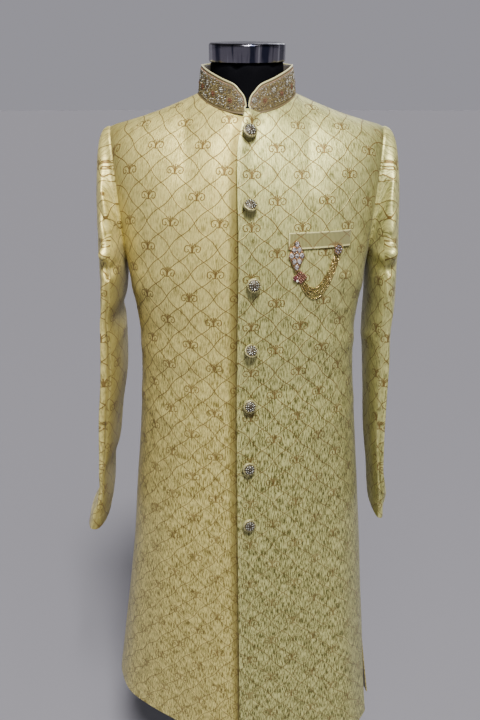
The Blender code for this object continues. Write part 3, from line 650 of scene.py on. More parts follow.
def woven_chart(tree, uv):
    """Share of pattern thread at each place: the trellis lines and the ornament."""
    u, v, _ = split(tree, uv)
    s = calc(tree, "MULTIPLY", calc(tree, "SUBTRACT", u, v), 2.0)
    t = calc(tree, "MULTIPLY", calc(tree, "ADD", u, v), 2.0)
    sine = {}
    for key, value in (("s", s), ("t", t)):
        angle = calc(tree, "MULTIPLY", value, math.pi)
        sine[key] = calc(tree, "SINE", angle), calc(tree, "COSINE", angle)
    lines = []
    for value, here, other in ((s, "s", "t"), (t, "t", "s")):
        wave = calc(tree, "MULTIPLY", sine[other][0], sine[here][1])
        bent = calc(tree, "MULTIPLY_ADD", wave, LINE_WAVE, value)
        lines.append(calc(tree, "PINGPONG", bent, 0.5))
    step = REPEAT * 1000 / 2 / math.sqrt(2)
    line = calc(tree, "MULTIPLY", calc(tree, "MINIMUM", *lines), step)
    fold = []
    for value in (s, t):
        half = calc(tree, "MULTIPLY", value, 0.5)
        fold.append(calc(tree, "SUBTRACT", half, calc(tree, "ROUND", half)))
    side = calc(tree, "MULTIPLY", calc(tree, "ADD", *fold), REPEAT * 500)
    high = calc(tree, "MULTIPLY", calc(tree, "SUBTRACT", fold[1], fold[0]), REPEAT * 500)
    place = add_node(tree, "ShaderNodeCombineXYZ", X=calc(tree, "ABSOLUTE", side), Y=high)
    place = place.outputs[0]
    away = vector_calc(tree, "LENGTH", place)
    strokes = list(zip(SCROLL, SCROLL[1:])) + list(CROWN)
    nearest = None
    for first, last in strokes:
        far = stroke_distance(tree, place, first, last)
        nearest = far if nearest is None else calc(tree, "MINIMUM", nearest, far)
    line = soft_step(tree, line, LINE_HALF - CRISP, LINE_HALF + CRISP, 1.0, 0.0)
    line = calc(tree, "MULTIPLY", line, soft_step(tree, away, CLEAR_ROUND - 0.6, CLEAR_ROUND))
    stroke = soft_step(tree, nearest, STROKE_HALF - CRISP, STROKE_HALF + 0.25, 1.0, 0.0)
    return calc(tree, "MAXIMUM", line, stroke)


print("strokes in the ornament:", len(SCROLL) - 1 + len(CROWN))

# %% [markdown]
# The ground weave has fine slubs: thicker threads that run down the cloth for a few centimetres.
# Long thin noise gives them, in the colour and in the relief. Over that lies a slow change of
# tone, as silk shows where it has been handled. A little sheen lifts the edges of each fold. A
# number kept on the points paints shade: it makes the silk deeper beside the front edge, as a
# painted shadow, toward the side seams and inside the forearm. The left front and sleeve take a
# darker, greener copy of the silk, painted for the shade on that side. The real silk is the same
# all over.

# %% Brocade and lining
THREAD = (0.150, 0.080, 0.016, 1.0)
SLUB_STRETCH = (52.0, 6.5, 1.0)
WEAVE_STRETCH = (310.0, 120.0, 1.0)
PATCH_STRETCH = (5.0, 2.6, 1.0)
HUE_STRETCH = (16.0, 7.0, 1.0)
SATIN_STRETCH = (900.0, 900.0, 60.0)
# The green tones are a darker, greener copy of the same silk: painted shade for the left front and
# the left sleeve.
TONES = {
    "warm": ((0.840, 0.730, 0.250, 1.0), (0.215, 0.168, 0.036, 1.0), (0.60, 0.42, 0.15, 1.0)),
    "green": ((0.640, 0.615, 0.245, 1.0), (0.110, 0.103, 0.022, 1.0), (0.48, 0.38, 0.15, 1.0)),
}


def brocade(name, tones, slub_share):
    """Silk with pale, deep and rosy threads; the share tells how strong the slubs are."""
    pale, deep, rosy = TONES[tones]
    finish, tree, shader = new_finish(name, pale[:3], 0.48, 0.50, Specular_IOR_Level=0.35,
                                      Sheen_Weight=0.06, Sheen_Roughness=0.5)
    uv = uv_place(tree)
    high_up = split(tree, uv)[1]
    # The dark slubs are strong toward the hem and weak up on the chest, so the chest reads
    # lighter: the slubs are the weave's own, the lighter chest is painted light.
    low_down = soft_step(tree, high_up, 6.0, 13.0, 1.0, 0.45)
    slub = stretched_noise(tree, uv, SLUB_STRETCH, 3.0, 0.70)
    weave = stretched_noise(tree, uv, WEAVE_STRETCH, 1.0)
    patch = stretched_noise(tree, uv, PATCH_STRETCH, 3.0, 0.6)
    hue = stretched_noise(tree, uv, HUE_STRETCH, 2.0, 0.6)
    strong = calc(tree, "MULTIPLY", low_down, soft_step(tree, patch, 0.34, 0.62, 0.55, 1.0))
    dark = calc(tree, "MULTIPLY", soft_step(tree, slub, 0.40, 0.56, slub_share, 0.0), strong)
    dark = calc(tree, "MULTIPLY_ADD", soft_step(tree, patch, 0.45, 0.68), 0.16, dark, clamp=True)
    ground = mix_colour(tree, soft_step(tree, hue, 0.50, 0.72, 0.0, 0.45), pale, rosy)
    ground = mix_colour(tree, dark, ground, deep)
    chart = woven_chart(tree, uv)
    broken = soft_step(tree, weave, 0.30, 0.62, 0.62, 1.0)
    # The trellis threads are fainter toward the hem.
    fainter_low = soft_step(tree, high_up, 5.0, 11.0, 0.72, 1.0)
    # Painted shade: the number kept on the points mixes the silk toward its deep tone.
    ground = mix_colour(tree, named_share(tree, "deep_tone"), ground, deep)
    thread = calc(tree, "MULTIPLY", chart, calc(tree, "MULTIPLY", broken, fainter_low))
    paint(tree, shader, mix_colour(tree, thread, ground, THREAD))
    tree.links.new(calc(tree, "MULTIPLY_ADD", slub, 0.20, 0.36), shader.inputs["Roughness"])
    height = calc(tree, "MULTIPLY_ADD", slub, 0.55, calc(tree, "MULTIPLY", weave, 0.20))
    height = calc(tree, "MULTIPLY_ADD", chart, 0.55, height)
    add_bump(tree, shader, height, 0.55, 0.0009)
    return finish


def lining():
    finish, tree, shader = new_finish("satin_lining", (0.20, 0.17, 0.13), 0.38,
                                      Sheen_Weight=0.2)
    grain = stretched_noise(tree, object_place(tree), SATIN_STRETCH)
    colour = mix_colour(tree, grain, (0.15, 0.125, 0.095, 1.0), (0.26, 0.225, 0.175, 1.0))
    paint(tree, shader, colour)
    add_bump(tree, shader, grain, 0.25, 0.0004)
    return finish


# The second copy, with stronger slubs, is the same silk painted as in shade.
BROCADE = brocade("brocade_silk", "warm", 1.3)
BROCADE_SHADED = brocade("brocade_silk_green", "green", 1.6)
LINING = lining()
print("brocade nodes:", len(BROCADE.node_tree.nodes))

# %% [markdown]
# The body has three panels: two fronts that overlap at the centre and one back. They are open
# at the side slits. The left front lies on top and its edge stands up a little, which throws a
# narrow shadow on the right front, deepened by a painted shadow band beside the edge. Rows
# stand closer together where the cloth bends most.

# %% Body panels
SKIRT_ROWS = 84
UPPER_ROWS = 62
NECK_COLUMNS = 14
EDGE_COLUMNS = 34
SHOULDER_COLUMNS = 32
EDGE_LIFT = 0.0080
EDGE_ROLL = 0.015
GROOVE_DEEP = 0.0036
GROOVE_WIDE = 0.0050
GROOVE_AWAY = 0.0085
GROOVE_TOP = 1.33
DIP_SHIFT = 0.020
TAB_AT = (0.006, 1.441)
TAB_WIDE = 0.009
TAB_HIGH = 0.008
TAB_OUT = 0.0030
NARROW_FROM = 1.405
NARROW_REACH = 0.025
COLUMN_POWER = 1.6
LAP_COLUMNS = 7
UNDER_COLUMNS = 5
SEAM_DIP = 0.0016
SEAM_REACH = 0.022
# Painted shade: the silk is painted darker toward the side seams, and a shadow band is painted on
# the right front beside the front edge.
SIDE_SHADE = 0.58
SIDE_REACH = 0.20
BAND_SHADOW = 0.74
BAND_WIDE = 0.0085
BAND_AWAY = 0.0050
STITCH_LIFT = 0.0003
cloth_faces = {}
PATTERN_START = {"front_right": (0.016, -0.102), "front_left": (0.416, -0.034),
                 "back": (0.0, 0.0)}
LEAN = {"front_right": 0.09}
LEAN_FROM = 11.0
LEAN_MIDDLE = 12.8


def panel_levels():
    rows = [i / SKIRT_ROWS for i in range(SKIRT_ROWS)]
    return rows + [1 + (1 - math.cos(math.pi * i / UPPER_ROWS)) / 2 for i in range(UPPER_ROWS + 1)]


def panel_shares(columns=NECK_COLUMNS, power=1.0):
    """Columns of half a panel; a higher power brings them closer at the centre."""
    marks = [NECK_SHARE * (i / columns) ** power for i in range(columns)]
    return marks + [NECK_SHARE + (1 - NECK_SHARE) * i / SHOULDER_COLUMNS
                    for i in range(SHOULDER_COLUMNS + 1)]


def seam_shift(face, turn, level, away):
    """Half a seam gap along the surface, away from the neighbouring panel."""
    if level > 1.0:
        return Vector((0, 0, 0))
    run = (lower(turn + STEP, level) - lower(turn - STEP, level)).normalized()
    return run * away * SEAM_GAP / 2


def underlap_dip(x):
    """The right front steps back under the left front."""
    return (WALL + LAYER_GAP) * ease((x + DIP_START) / (DIP_START - DIP_END))


def edge_relief(name, x, z):
    """Relief along the front opening: a raised edge above, a shallow groove below."""
    edge = smooth(FRONT_EDGE, "x", z)
    if name == "front_left":
        tab = math.exp(-(((x - TAB_AT[0]) / TAB_WIDE) ** 2) - ((z - TAB_AT[1]) / TAB_HIGH) ** 2)
        return EDGE_LIFT * math.exp(-(((x - edge) / EDGE_ROLL) ** 2)) + TAB_OUT * tab
    if name == "front_right":
        groove = (x - edge + GROOVE_AWAY) / GROOVE_WIDE
        narrow = DIP_SHIFT * ease((z - NARROW_FROM) / NARROW_REACH)
        deep = GROOVE_DEEP * ease((GROOVE_TOP - z) / 0.10)
        return -underlap_dip(x - narrow) - deep * math.exp(-(groove ** 2))
    return 0.0


def painted_edge_shade(name, x, z, share):
    """Painted shade: how much darker the silk is painted, as a shadow band under the front edge
    and where a panel turns aside.
    """
    tone = SIDE_SHADE * math.exp(-(((1 - share) / SIDE_REACH) ** 2))
    if name == "front_right":
        away = (x - smooth(FRONT_EDGE, "x", z) + BAND_AWAY) / BAND_WIDE
        tone = max(tone, BAND_SHADOW * math.exp(-(away ** 4)))
    return tone


def keep_painted_shade(item, tones):
    """Keep the painted shade of each point, on the face and again on the lining."""
    layer = item.data.attributes.new("deep_tone", "FLOAT", "POINT")
    layer.data.foreach_set("value", np.concatenate([tones, tones]).astype(np.float32))


def body_panel(name, face, turns, shifts):
    """A panel of the body from the turns of its columns at each level."""
    grid = []
    relief = []
    tones = []
    for level in panel_levels():
        row = turns(level)
        points = []
        outs = []
        for i, turn in enumerate(row):
            point = body(face, turn, level)
            away = shifts[0] if i == 0 else shifts[1] if i == len(row) - 1 else 0
            point = point + seam_shift(face, turn, level, away)
            side = abs(around(turn))
            share = side if face == "front" else 2 - side
            fade = max(ease((1 - share) / 0.14), slit(level)) * ease((2 - level) / 0.12)
            out = crease_out(CREASES[face], point.x, point.z) * fade
            out -= SEAM_DIP * math.exp(-(((1 - share) / SEAM_REACH) ** 2)) * ease((level - 1) * 9)
            points.append(point)
            outs.append(out + edge_relief(name, point.x, point.z))
            tones.append(painted_edge_shade(name, point.x, point.z, share))
        grid.append(points)
        relief.append(outs)
    grid = np.array([[tuple(point) for point in row] for row in grid])
    centre = int(np.argmin(np.abs(grid[0, :, 0])))
    outward = grid * (1, 1, 0)
    normal = grid_normals(grid, outward)
    face_grid = grid + normal * np.array(relief)[..., None]
    cut = flat_cut(grid, centre)
    cut[..., 1] += (grid[0, :, 2] - HEM_Z)[None, :]
    cut[..., 0] += grid[:, [centre], 0]
    start = np.array(PATTERN_START[name]) * REPEAT
    lean = np.maximum(cut[..., 1] / REPEAT, LEAN_FROM) - LEAN_MIDDLE
    woven = cut + start
    woven[..., 0] -= LEAN.get(name, 0.0) * lean * REPEAT
    # The left front takes the copy of the silk painted as in shade.
    item = cloth_piece(f"{name}_cloth", face_grid, face_grid - normal * WALL, woven,
                       (BROCADE_SHADED if name == "front_left" else BROCADE, LINING))
    keep_painted_shade(item, np.array(tones))
    cloth_faces[name] = face_grid + normal * STITCH_LIFT
    belongs(item, "brocade", name)
    return item, cut


def left_turns(level):
    z = body("front", 0.0, level).z
    edge = turn_at("front", level, smooth(FRONT_EDGE, "x", z))
    end = 1 + SLIT_FRONT_LEFT * slit(level)
    near = [edge * (1 - i / LAP_COLUMNS) for i in range(LAP_COLUMNS)]
    return near + [share * end for share in panel_shares(EDGE_COLUMNS, COLUMN_POWER)]


def right_turns(level):
    under = turn_at("front", level, UNDERLAP)
    inner = [under * k / UNDER_COLUMNS for k in range(1, UNDER_COLUMNS + 1)]
    return [-share for share in reversed(panel_shares(EDGE_COLUMNS, COLUMN_POWER))] + inner


def back_turns(level):
    near_left = 1 + SLIT_BACK_LEFT * slit(level)
    near_right = 1 + SLIT_BACK_RIGHT * slit(level)
    left = [2 - share * (2 - near_left) for share in reversed(panel_shares())]
    right = [2 + share * (2 - near_right) for share in panel_shares()]
    return left + right[1:]


front_right, front_right_cut = body_panel("front_right", "front", right_turns, (1, 0))
front_left, front_left_cut = body_panel("front_left", "front", left_turns, (0, -1))
back, back_cut = body_panel("back", "back", back_turns, (1, -1))

# %% [markdown]
# Each sleeve is cut in two: a wide top sleeve and a narrower under sleeve, with a seam in front
# and one behind. It starts square to the armhole, turns down over the shoulder and hangs as a
# slightly twisted tube. The bent arm once inside has left slanting wrinkles above the elbow, one
# heavy fold at the elbow and a long crease down the front of the forearm.

# %% Measures of the sleeves
Section = namedtuple("Section", "z outer inner depth centre sharp")
SLEEVE_RIGHT = (
    Section(0.735, 0.289, 0.255, 0.066, -0.030, -0.15),
    Section(0.762, 0.282, 0.249, 0.067, -0.029, -0.15),
    Section(0.785, 0.269, 0.246, 0.068, -0.028, -0.15),
    Section(0.848, 0.260, 0.242, 0.070, -0.025, -0.15),
    Section(0.883, 0.260, 0.232, 0.071, -0.023, -0.12),
    Section(0.949, 0.258, 0.223, 0.074, -0.020, -0.10),
    Section(1.010, 0.254, 0.212, 0.077, -0.017, -0.08),
    Section(1.056, 0.251, 0.210, 0.079, -0.014, -0.05),
    Section(1.089, 0.249, 0.211, 0.080, -0.012, -0.05),
    Section(1.121, 0.247, 0.215, 0.080, -0.011, 0.00),
    Section(1.150, 0.246, 0.207, 0.084, -0.009, 0.00),
    Section(1.184, 0.245, 0.2035, 0.086, -0.005, 0.00),
)
SLEEVE_LEFT = (
    Section(0.757, 0.249, 0.230, 0.062, -0.031, -0.28),
    Section(0.777, 0.250, 0.228, 0.063, -0.028, -0.28),
    Section(0.794, 0.254, 0.226, 0.064, -0.027, -0.25),
    Section(0.809, 0.252, 0.225, 0.066, -0.027, -0.25),
    Section(0.842, 0.246, 0.222, 0.068, -0.025, -0.25),
    Section(0.906, 0.243, 0.215, 0.071, -0.022, -0.20),
    Section(0.969, 0.244, 0.211, 0.074, -0.019, -0.15),
    Section(1.040, 0.247, 0.206, 0.077, -0.015, -0.10),
    Section(1.092, 0.246, 0.203, 0.080, -0.012, -0.05),
    Section(1.144, 0.250, 0.204, 0.084, -0.009, 0.00),
    Section(1.184, 0.250, 0.2035, 0.086, -0.005, 0.00),
)
SLEEVES = {-1: SLEEVE_RIGHT, 1: SLEEVE_LEFT}
TOP_SLEEVE_HALF = 105
Dent = namedtuple("Dent", "z turn high wide out rise")
SLEEVE_DENTS = {
    -1: (
        Dent(1.232, 70, 0.012, 55, 0.006, 0.00012),
        Dent(1.207, 110, 0.010, 50, -0.006, 0.00012),
        Dent(1.330, 60, 0.014, 50, 0.004, 0.00025),
        Dent(1.215, 285, 0.014, 60, 0.005, -0.0001),
        Dent(1.100, 250, 0.016, 50, 0.004, -0.0001),
    ),
    1: (
        Dent(1.235, 75, 0.012, 55, 0.007, -0.0001),
        Dent(1.207, 90, 0.010, 55, -0.005, -0.0001),
        Dent(1.350, 60, 0.014, 45, 0.004, 0.00025),
        Dent(1.225, 290, 0.014, 60, 0.005, 0.0001),
        Dent(1.090, 255, 0.016, 50, 0.004, 0.0001),
    ),
}
# Painted shade inside the forearm: strong on the right sleeve, slight on the left.
INNER_SHADE = {-1: 0.62, 1: 0.15}
INNER_FROM = 74
INNER_TO = 250
INNER_FROM_Z = 1.215
ARM_ROUND = 0.0012
CAP_ROWS = 22
CAP_SHARE = 0.3
FOLD_ROWS = 116
ARM_ROWS = 96
SLEEVE_STEP = 3
CAP_REACH = 0.035
SLEEVE_CREASES = {
    -1: (
        Crease(0.070, 1.335, -52, 0.060, 0.010, 0.0040),
        Crease(0.095, 1.318, -50, 0.055, 0.008, -0.0035),
        Crease(0.050, 1.302, -42, 0.055, 0.010, 0.0042),
        Crease(0.090, 1.285, -40, 0.050, 0.008, -0.0035),
        Crease(0.050, 1.268, -32, 0.060, 0.009, 0.0038),
        Crease(0.060, 1.252, -20, 0.060, 0.007, -0.0032),
        Crease(0.084, 1.232, -8, 0.050, 0.010, 0.0045),
        Crease(0.100, 1.211, -12, 0.034, 0.0075, -0.0090),
        Crease(0.114, 1.203, -18, 0.020, 0.0090, -0.0120),
        Crease(0.040, 1.192, 10, 0.055, 0.009, 0.0032),
        Crease(0.085, 1.170, 28, 0.050, 0.010, 0.0030),
        Crease(0.084, 1.060, 88, 0.120, 0.009, 0.0060),
        Crease(0.108, 1.070, 92, 0.110, 0.012, -0.0060),
        Crease(0.060, 1.000, 80, 0.090, 0.012, 0.0028),
        Crease(0.082, 0.900, 88, 0.110, 0.009, 0.0055),
        Crease(0.104, 0.900, 90, 0.100, 0.011, -0.0055),
        Crease(0.050, 0.835, -50, 0.050, 0.011, 0.0035),
        Crease(0.095, 0.805, -42, 0.045, 0.010, -0.0030),
        Crease(0.060, 0.780, -30, 0.045, 0.011, 0.0032),
        Crease(-0.060, 1.300, 40, 0.060, 0.011, 0.0035),
        Crease(-0.080, 1.255, 24, 0.060, 0.010, -0.0030),
        Crease(-0.070, 1.215, 10, 0.055, 0.011, 0.0040),
        Crease(-0.060, 1.100, 84, 0.110, 0.013, 0.0030),
        Crease(-0.080, 0.900, 94, 0.110, 0.013, -0.0030),
        Crease(0.200, 1.090, 10, 0.060, 0.012, 0.0025),
        Crease(0.225, 0.900, 88, 0.100, 0.014, 0.0025),
    ),
    1: (
        Crease(0.070, 1.340, -52, 0.050, 0.010, 0.0035),
        Crease(0.095, 1.325, -50, 0.050, 0.008, -0.0030),
        Crease(0.060, 1.300, -44, 0.050, 0.009, 0.0030),
        Crease(0.075, 1.262, -18, 0.060, 0.009, -0.0030),
        Crease(0.070, 1.236, -6, 0.065, 0.011, 0.0050),
        Crease(0.085, 1.208, 4, 0.060, 0.008, -0.0042),
        Crease(0.055, 1.186, 16, 0.055, 0.010, 0.0035),
        Crease(0.095, 1.150, 44, 0.055, 0.010, 0.0030),
        Crease(0.078, 1.060, 94, 0.110, 0.011, 0.0042),
        Crease(0.102, 1.050, 90, 0.100, 0.010, -0.0036),
        Crease(0.050, 0.990, 98, 0.090, 0.012, 0.0028),
        Crease(0.090, 0.900, 96, 0.100, 0.011, 0.0040),
        Crease(0.112, 0.880, 92, 0.090, 0.010, -0.0036),
        Crease(0.070, 0.815, 40, 0.045, 0.010, 0.0030),
        Crease(0.095, 0.790, 30, 0.040, 0.009, -0.0026),
        Crease(-0.060, 1.290, 38, 0.060, 0.011, 0.0035),
        Crease(-0.080, 1.240, 16, 0.060, 0.011, 0.0038),
        Crease(-0.070, 1.205, 4, 0.055, 0.010, -0.0032),
        Crease(-0.060, 1.080, 96, 0.110, 0.013, 0.0030),
        Crease(-0.075, 0.900, 86, 0.110, 0.013, -0.0028),
        Crease(0.200, 1.080, -12, 0.060, 0.012, 0.0025),
        Crease(0.225, 0.900, 92, 0.100, 0.014, 0.0025),
    ),
}
QUIET_OUTLINE = 0.12
QUIET_FRONT = 52
QUIET_BACK = 45
QUIET_FADE = 26
HANDLE_OFF = (0.012, 0.024)
HANDLE_DROP = 0.90
SLEEVE_PATTERN = {"top_right": (0.0, 0.0), "top_left": (0.0, 0.0),
                  "under_right": (0.25, 0.1), "under_left": (0.4, 0.3)}

# %% [markdown]
# The sleeve's surface is the same as in the rigid solids: a cubic curve from the armhole's edge
# to the hanging tube, and below that an oval for each height, with the largest dents. The panels
# then make the dents quiet on the outer side, where the cloth hangs smooth.

# %% Surface of a sleeve
def armhole(side, turn):
    """Edge of the body's armhole at a turn round the arm, 0 at the shoulder, 90 in front.

    Gives the point, the cloth's outward normal and the direction off the edge."""
    turn = turn % 360
    face = "front" if turn <= 180 else "back"
    rise = (1 + math.cos(math.radians(turn))) / 2
    point = body(face, side, 1 + rise)
    if turn < 1 or turn > 359:
        normal = seam_normal(side)
        return point, normal, Vector((normal.z * side, 0, -abs(normal.x)))
    if abs(turn - 180) < 1:
        return point, Vector((side, 0, 0)), Vector((0, 0, 1))
    normal = body_normal(face, side, 1 + rise)
    near = body(face, side, 1 + max(rise - STEP, 0.0))
    run = (body(face, side, 1 + min(rise + STEP, 1.0)) - near).normalized()
    off = run.cross(normal).normalized()
    return point, normal, off * (side if face == "front" else -side)


def dent_out(side, turn, z):
    out = 0.0
    for dent in SLEEVE_DENTS[side]:
        away = (turn - dent.turn + 180) % 360 - 180
        along = (z - dent.z - dent.rise * away) / dent.high
        out += dent.out * math.exp(-(along ** 2) - (away / dent.wide) ** 2)
    return out


def section(side, turn, z):
    """Point of the hanging sleeve at a height."""
    rows = SLEEVES[side]
    outer = smooth(rows, "outer", z)
    inner = smooth(rows, "inner", z)
    depth = smooth(rows, "depth", z)
    sharp = smooth(rows, "sharp", z)
    angle = math.radians(turn)
    across = math.copysign(abs(math.cos(angle)) ** (1 + sharp), math.cos(angle))
    x = (outer + inner) / 2 + (outer - inner) / 2 * across
    y = smooth(rows, "centre", z) - depth * math.sin(angle)
    return Vector((x * side, y, z))


def sleeve_base(side, turn, level):
    """Sleeve without its dents: level 0 at the armhole, 1 under the arm, 2 at the cuff."""
    rows = SLEEVES[side]
    if level >= 1:
        return section(side, turn, blend(rows[-1].z, rows[0].z, level - 1))
    start, _, off = armhole(side, turn)
    start = start + off * SEAM_GAP
    end = section(side, turn, rows[-1].z)
    lean = (1 + math.cos(math.radians(turn))) / 2
    drop = start.z - end.z
    first = start + off * blend(*HANDLE_OFF, lean)
    last = end + Vector((0, 0, drop * HANDLE_DROP + blend(HANDLE_OFF[0], 0.0, lean)))
    a = 1 - level
    mixed = start * a ** 3 + first * (3 * a * a * level)
    return mixed + last * (3 * a * level * level) + end * level ** 3


def sleeve_point(side, turn, level):
    point = sleeve_base(side, turn, level)
    angle = math.radians(turn)
    out = Vector((side * math.cos(angle), -math.sin(angle), 0))
    fade = ease(level / 0.4) * ease((2 - level) / 0.1)
    inside = ease((-math.cos(angle) - 0.4) / 0.5)
    return point + out * dent_out(side, turn, point.z) * fade * (1 - inside)

# %% Sleeve panels
def sleeve_rows():
    cap = [CAP_SHARE * (i / CAP_ROWS) ** 1.4 for i in range(CAP_ROWS)]
    cap += [CAP_SHARE + (1 - CAP_SHARE) * i / FOLD_ROWS for i in range(FOLD_ROWS)]
    return cap + [1 + i / ARM_ROWS for i in range(ARM_ROWS + 1)]


def outline_share(turn):
    """Share of the creases that is left: little on the outer side, where the cloth is smooth."""
    turn = (turn + 180) % 360 - 180
    start = QUIET_FRONT if turn > 0 else QUIET_BACK
    return QUIET_OUTLINE + (1 - QUIET_OUTLINE) * ease((abs(turn) - start) / QUIET_FADE)


def painted_sleeve_shade(side, turn, z):
    """Painted shade: how much darker the silk is painted on the inner side of the forearm, past
    its long crease.
    """
    below = ease((INNER_FROM_Z - z) / 0.03)
    return INNER_SHADE[side] * ease((turn - INNER_FROM) / 10) * ease((INNER_TO - turn) / 40) * below


def sleeve_cloth(part, word, side, first, last):
    """Top or under sleeve between two turns round the arm, built from the cuff upward."""
    turns = list(range(first, last + 1, SLEEVE_STEP))
    grid = []
    relief = []
    for level in reversed(sleeve_rows()):
        points = []
        outs = []
        for turn in turns:
            point = sleeve_point(side, turn, level)
            if turn in (first, last):
                near = sleeve_point(side, turn - 1, level)
                run = (sleeve_point(side, turn + 1, level) - near).normalized()
                point = point + run * (1 if turn == first else -1) * SEAM_GAP / 2
            fade = ease(min(turn - first, last - turn) / 14) * ease(level / 0.35)
            loud = outline_share(turn)
            out = crease_out(SLEEVE_CREASES[side], turn * ARM_ROUND, point.z) * fade * loud
            out -= dent_out(side, turn, point.z) * ease(level / 0.4) * (1 - loud)
            outs.append(out - SEAM_DIP * math.exp(-((level / CAP_REACH) ** 2)))
            points.append(tuple(point))
        grid.append(points)
        relief.append(outs)
    grid = np.array(grid)
    angles = np.radians(turns)
    outward = np.stack([side * np.cos(angles), -np.sin(angles), 0 * angles], axis=1)
    normal = grid_normals(grid, np.broadcast_to(outward, grid.shape))
    face_grid = grid + normal * np.array(relief)[..., None]
    cut = flat_cut(grid, len(turns) // 2, whole=True)
    # The pattern keeps level round the sleeve, as the cut does before it is eased into folds
    woven = np.stack([cut[..., 0], grid[..., 2]], axis=2)
    woven += np.array(SLEEVE_PATTERN[f"{part}_{word}"]) * REPEAT
    # The left sleeve takes the copy of the silk painted as in shade.
    item = cloth_piece(f"{part}_sleeve_{word}_cloth", face_grid, face_grid - normal * WALL,
                       woven, (BROCADE_SHADED if side > 0 else BROCADE, LINING))
    keep_painted_shade(item, np.array([painted_sleeve_shade(side, turn, z) for row in face_grid[..., 2]
                           for turn, z in zip(turns, row)]))
    cloth_faces[f"{part}_sleeve_{word}"] = face_grid + normal * STITCH_LIFT
    belongs(item, "brocade", f"{part}_sleeve_{word}")
    return item, cut


sleeve_cuts = {}
sleeve_items = {}
for side, word in ((-1, "right"), (1, "left")):
    for part, first, last in (("top", -TOP_SLEEVE_HALF, TOP_SLEEVE_HALF),
                              ("under", TOP_SLEEVE_HALF, 360 - TOP_SLEEVE_HALF)):
        made = sleeve_cloth(part, word, side, first, last)
        sleeve_items[part, word], sleeve_cuts[part, word] = made

# %% [markdown]
# The standing collar is stiff cloth, closed with a hook at the front, where its two ends curve
# apart. It carries dense hand embroidery: rows of flowers in metal thread and small beads over a
# dark ground, with a pale piped edge along the top. The ground is one stiff strip. The beads
# follow as thousands of small copies of one bead, set on points that are worked out here.

# %% Collar strip and piping
Rise = namedtuple("Rise", "turn high")
COLLAR_RISE = (
    Rise(3.0, 0.0100),
    Rise(5.0, 0.0215),
    Rise(10.5, 0.0300),
    Rise(16.0, 0.0365),
    Rise(23.0, 0.0390),
    Rise(45.0, 0.0410),
    Rise(70.0, 0.0400),
    Rise(100.0, 0.0380),
    Rise(180.0, 0.0380),
)
COLLAR_WALL = 0.0025
COLLAR_LIFT = 0.0006
COLLAR_LEAN = 0.0045
PIPING_RADIUS = 0.0013
FOOT_CORD_RADIUS = 0.0013
FOOT_CORD_OUT = 0.0004
FOOT_CORD_DOWN = 0.0006
COLLAR_ROWS = 16
COLLAR_START = 3.0
END_COLUMNS = 18
END_REACH = 12.0
CORNER_STEPS = 8


def collar_point(turn, rise):
    """Outer face of the collar, rise 0 at the neckline and 1 at its top edge."""
    near = min(turn, 360 - turn)
    foot = neck_point(turn)
    inward = -Vector((foot.x, foot.y, 0)).normalized()
    high = smooth(COLLAR_RISE, "high", near) * rise
    lean = COLLAR_LEAN * high / COLLAR_RISE[-1].high
    return foot + Vector((0, 0, COLLAR_LIFT + high)) + inward * lean


def collar_inward(turn):
    """Level direction square to the collar, toward the neck."""
    run = neck_point(turn + 1) - neck_point(turn - 1)
    return Vector((-run.y, run.x, 0)).normalized()


def collar_marks():
    ends = [COLLAR_START + END_REACH * (i / END_COLUMNS) ** 1.4 for i in range(END_COLUMNS)]
    half = ends + list(range(15, 181, 2))
    half = [turn for turn in half if turn < 180] + [180]
    return half + [360 - turn for turn in reversed(half[:-1])]


def collar_finish():
    finish, tree, shader = new_finish("collar_couching", (0.10, 0.07, 0.035), 0.55, 0.30)
    place = vector_calc(tree, "MULTIPLY", uv_place(tree), (1.0, 1.0, 0.0))
    cells = add_node(tree, "ShaderNodeTexVoronoi", Scale=42.0, Vector=place)
    thread = noise(tree, place, 160.0, 2.0)
    colour = mix_colour(tree, soft_step(tree, thread, 0.35, 0.62), (0.045, 0.032, 0.018, 1.0),
                        (0.26, 0.20, 0.09, 1.0))
    paint(tree, shader, colour)
    height = calc(tree, "MULTIPLY_ADD", thread, 0.5, cells.outputs["Distance"])
    add_bump(tree, shader, height, 0.6, 0.0008)
    return finish


def piping_finish():
    finish, tree, shader = new_finish("piping_silk", (0.70, 0.66, 0.40), 0.40, 0.10,
                                      Sheen_Weight=0.3)
    wave = add_node(tree, "ShaderNodeTexWave", Scale=260.0, Vector=object_place(tree))
    wave.bands_direction = "DIAGONAL"
    colour = mix_colour(tree, wave.outputs["Fac"], (0.46, 0.42, 0.18, 1.0),
                        (0.68, 0.63, 0.34, 1.0))
    paint(tree, shader, colour)
    add_bump(tree, shader, wave.outputs["Fac"], 0.3, 0.0003)
    return finish


def tube_faces(rings, sides, first):
    """Faces of a closed bar with flat ends from rings of points."""
    faces = []
    for i in range(rings - 1):
        for k in range(sides):
            a = first + i * sides + k
            b = first + i * sides + (k + 1) % sides
            faces.append((a, b, b + sides, a + sides))
    faces.append(tuple(first + k for k in reversed(range(sides))))
    faces.append(tuple(first + (rings - 1) * sides + k for k in range(sides)))
    return faces


def swept(points, radius, sides, first=0):
    """Points and faces of a round bar with flat ends along a run of points."""
    run = [Vector(point) for point in points]
    rings = []
    side = None
    for i, point in enumerate(run):
        ahead = (run[min(i + 1, len(run) - 1)] - run[max(i - 1, 0)]).normalized()
        side = ahead.orthogonal() if side is None else side
        side = (side - ahead * side.dot(ahead)).normalized()
        other = ahead.cross(side)
        wide = radius[i] if isinstance(radius, (list, tuple)) else radius
        for k in range(sides):
            angle = 2 * math.pi * k / sides
            rings.append(point + (side * math.cos(angle) + other * math.sin(angle)) * wide)
    return [tuple(point) for point in rings], tube_faces(len(run), sides, first)


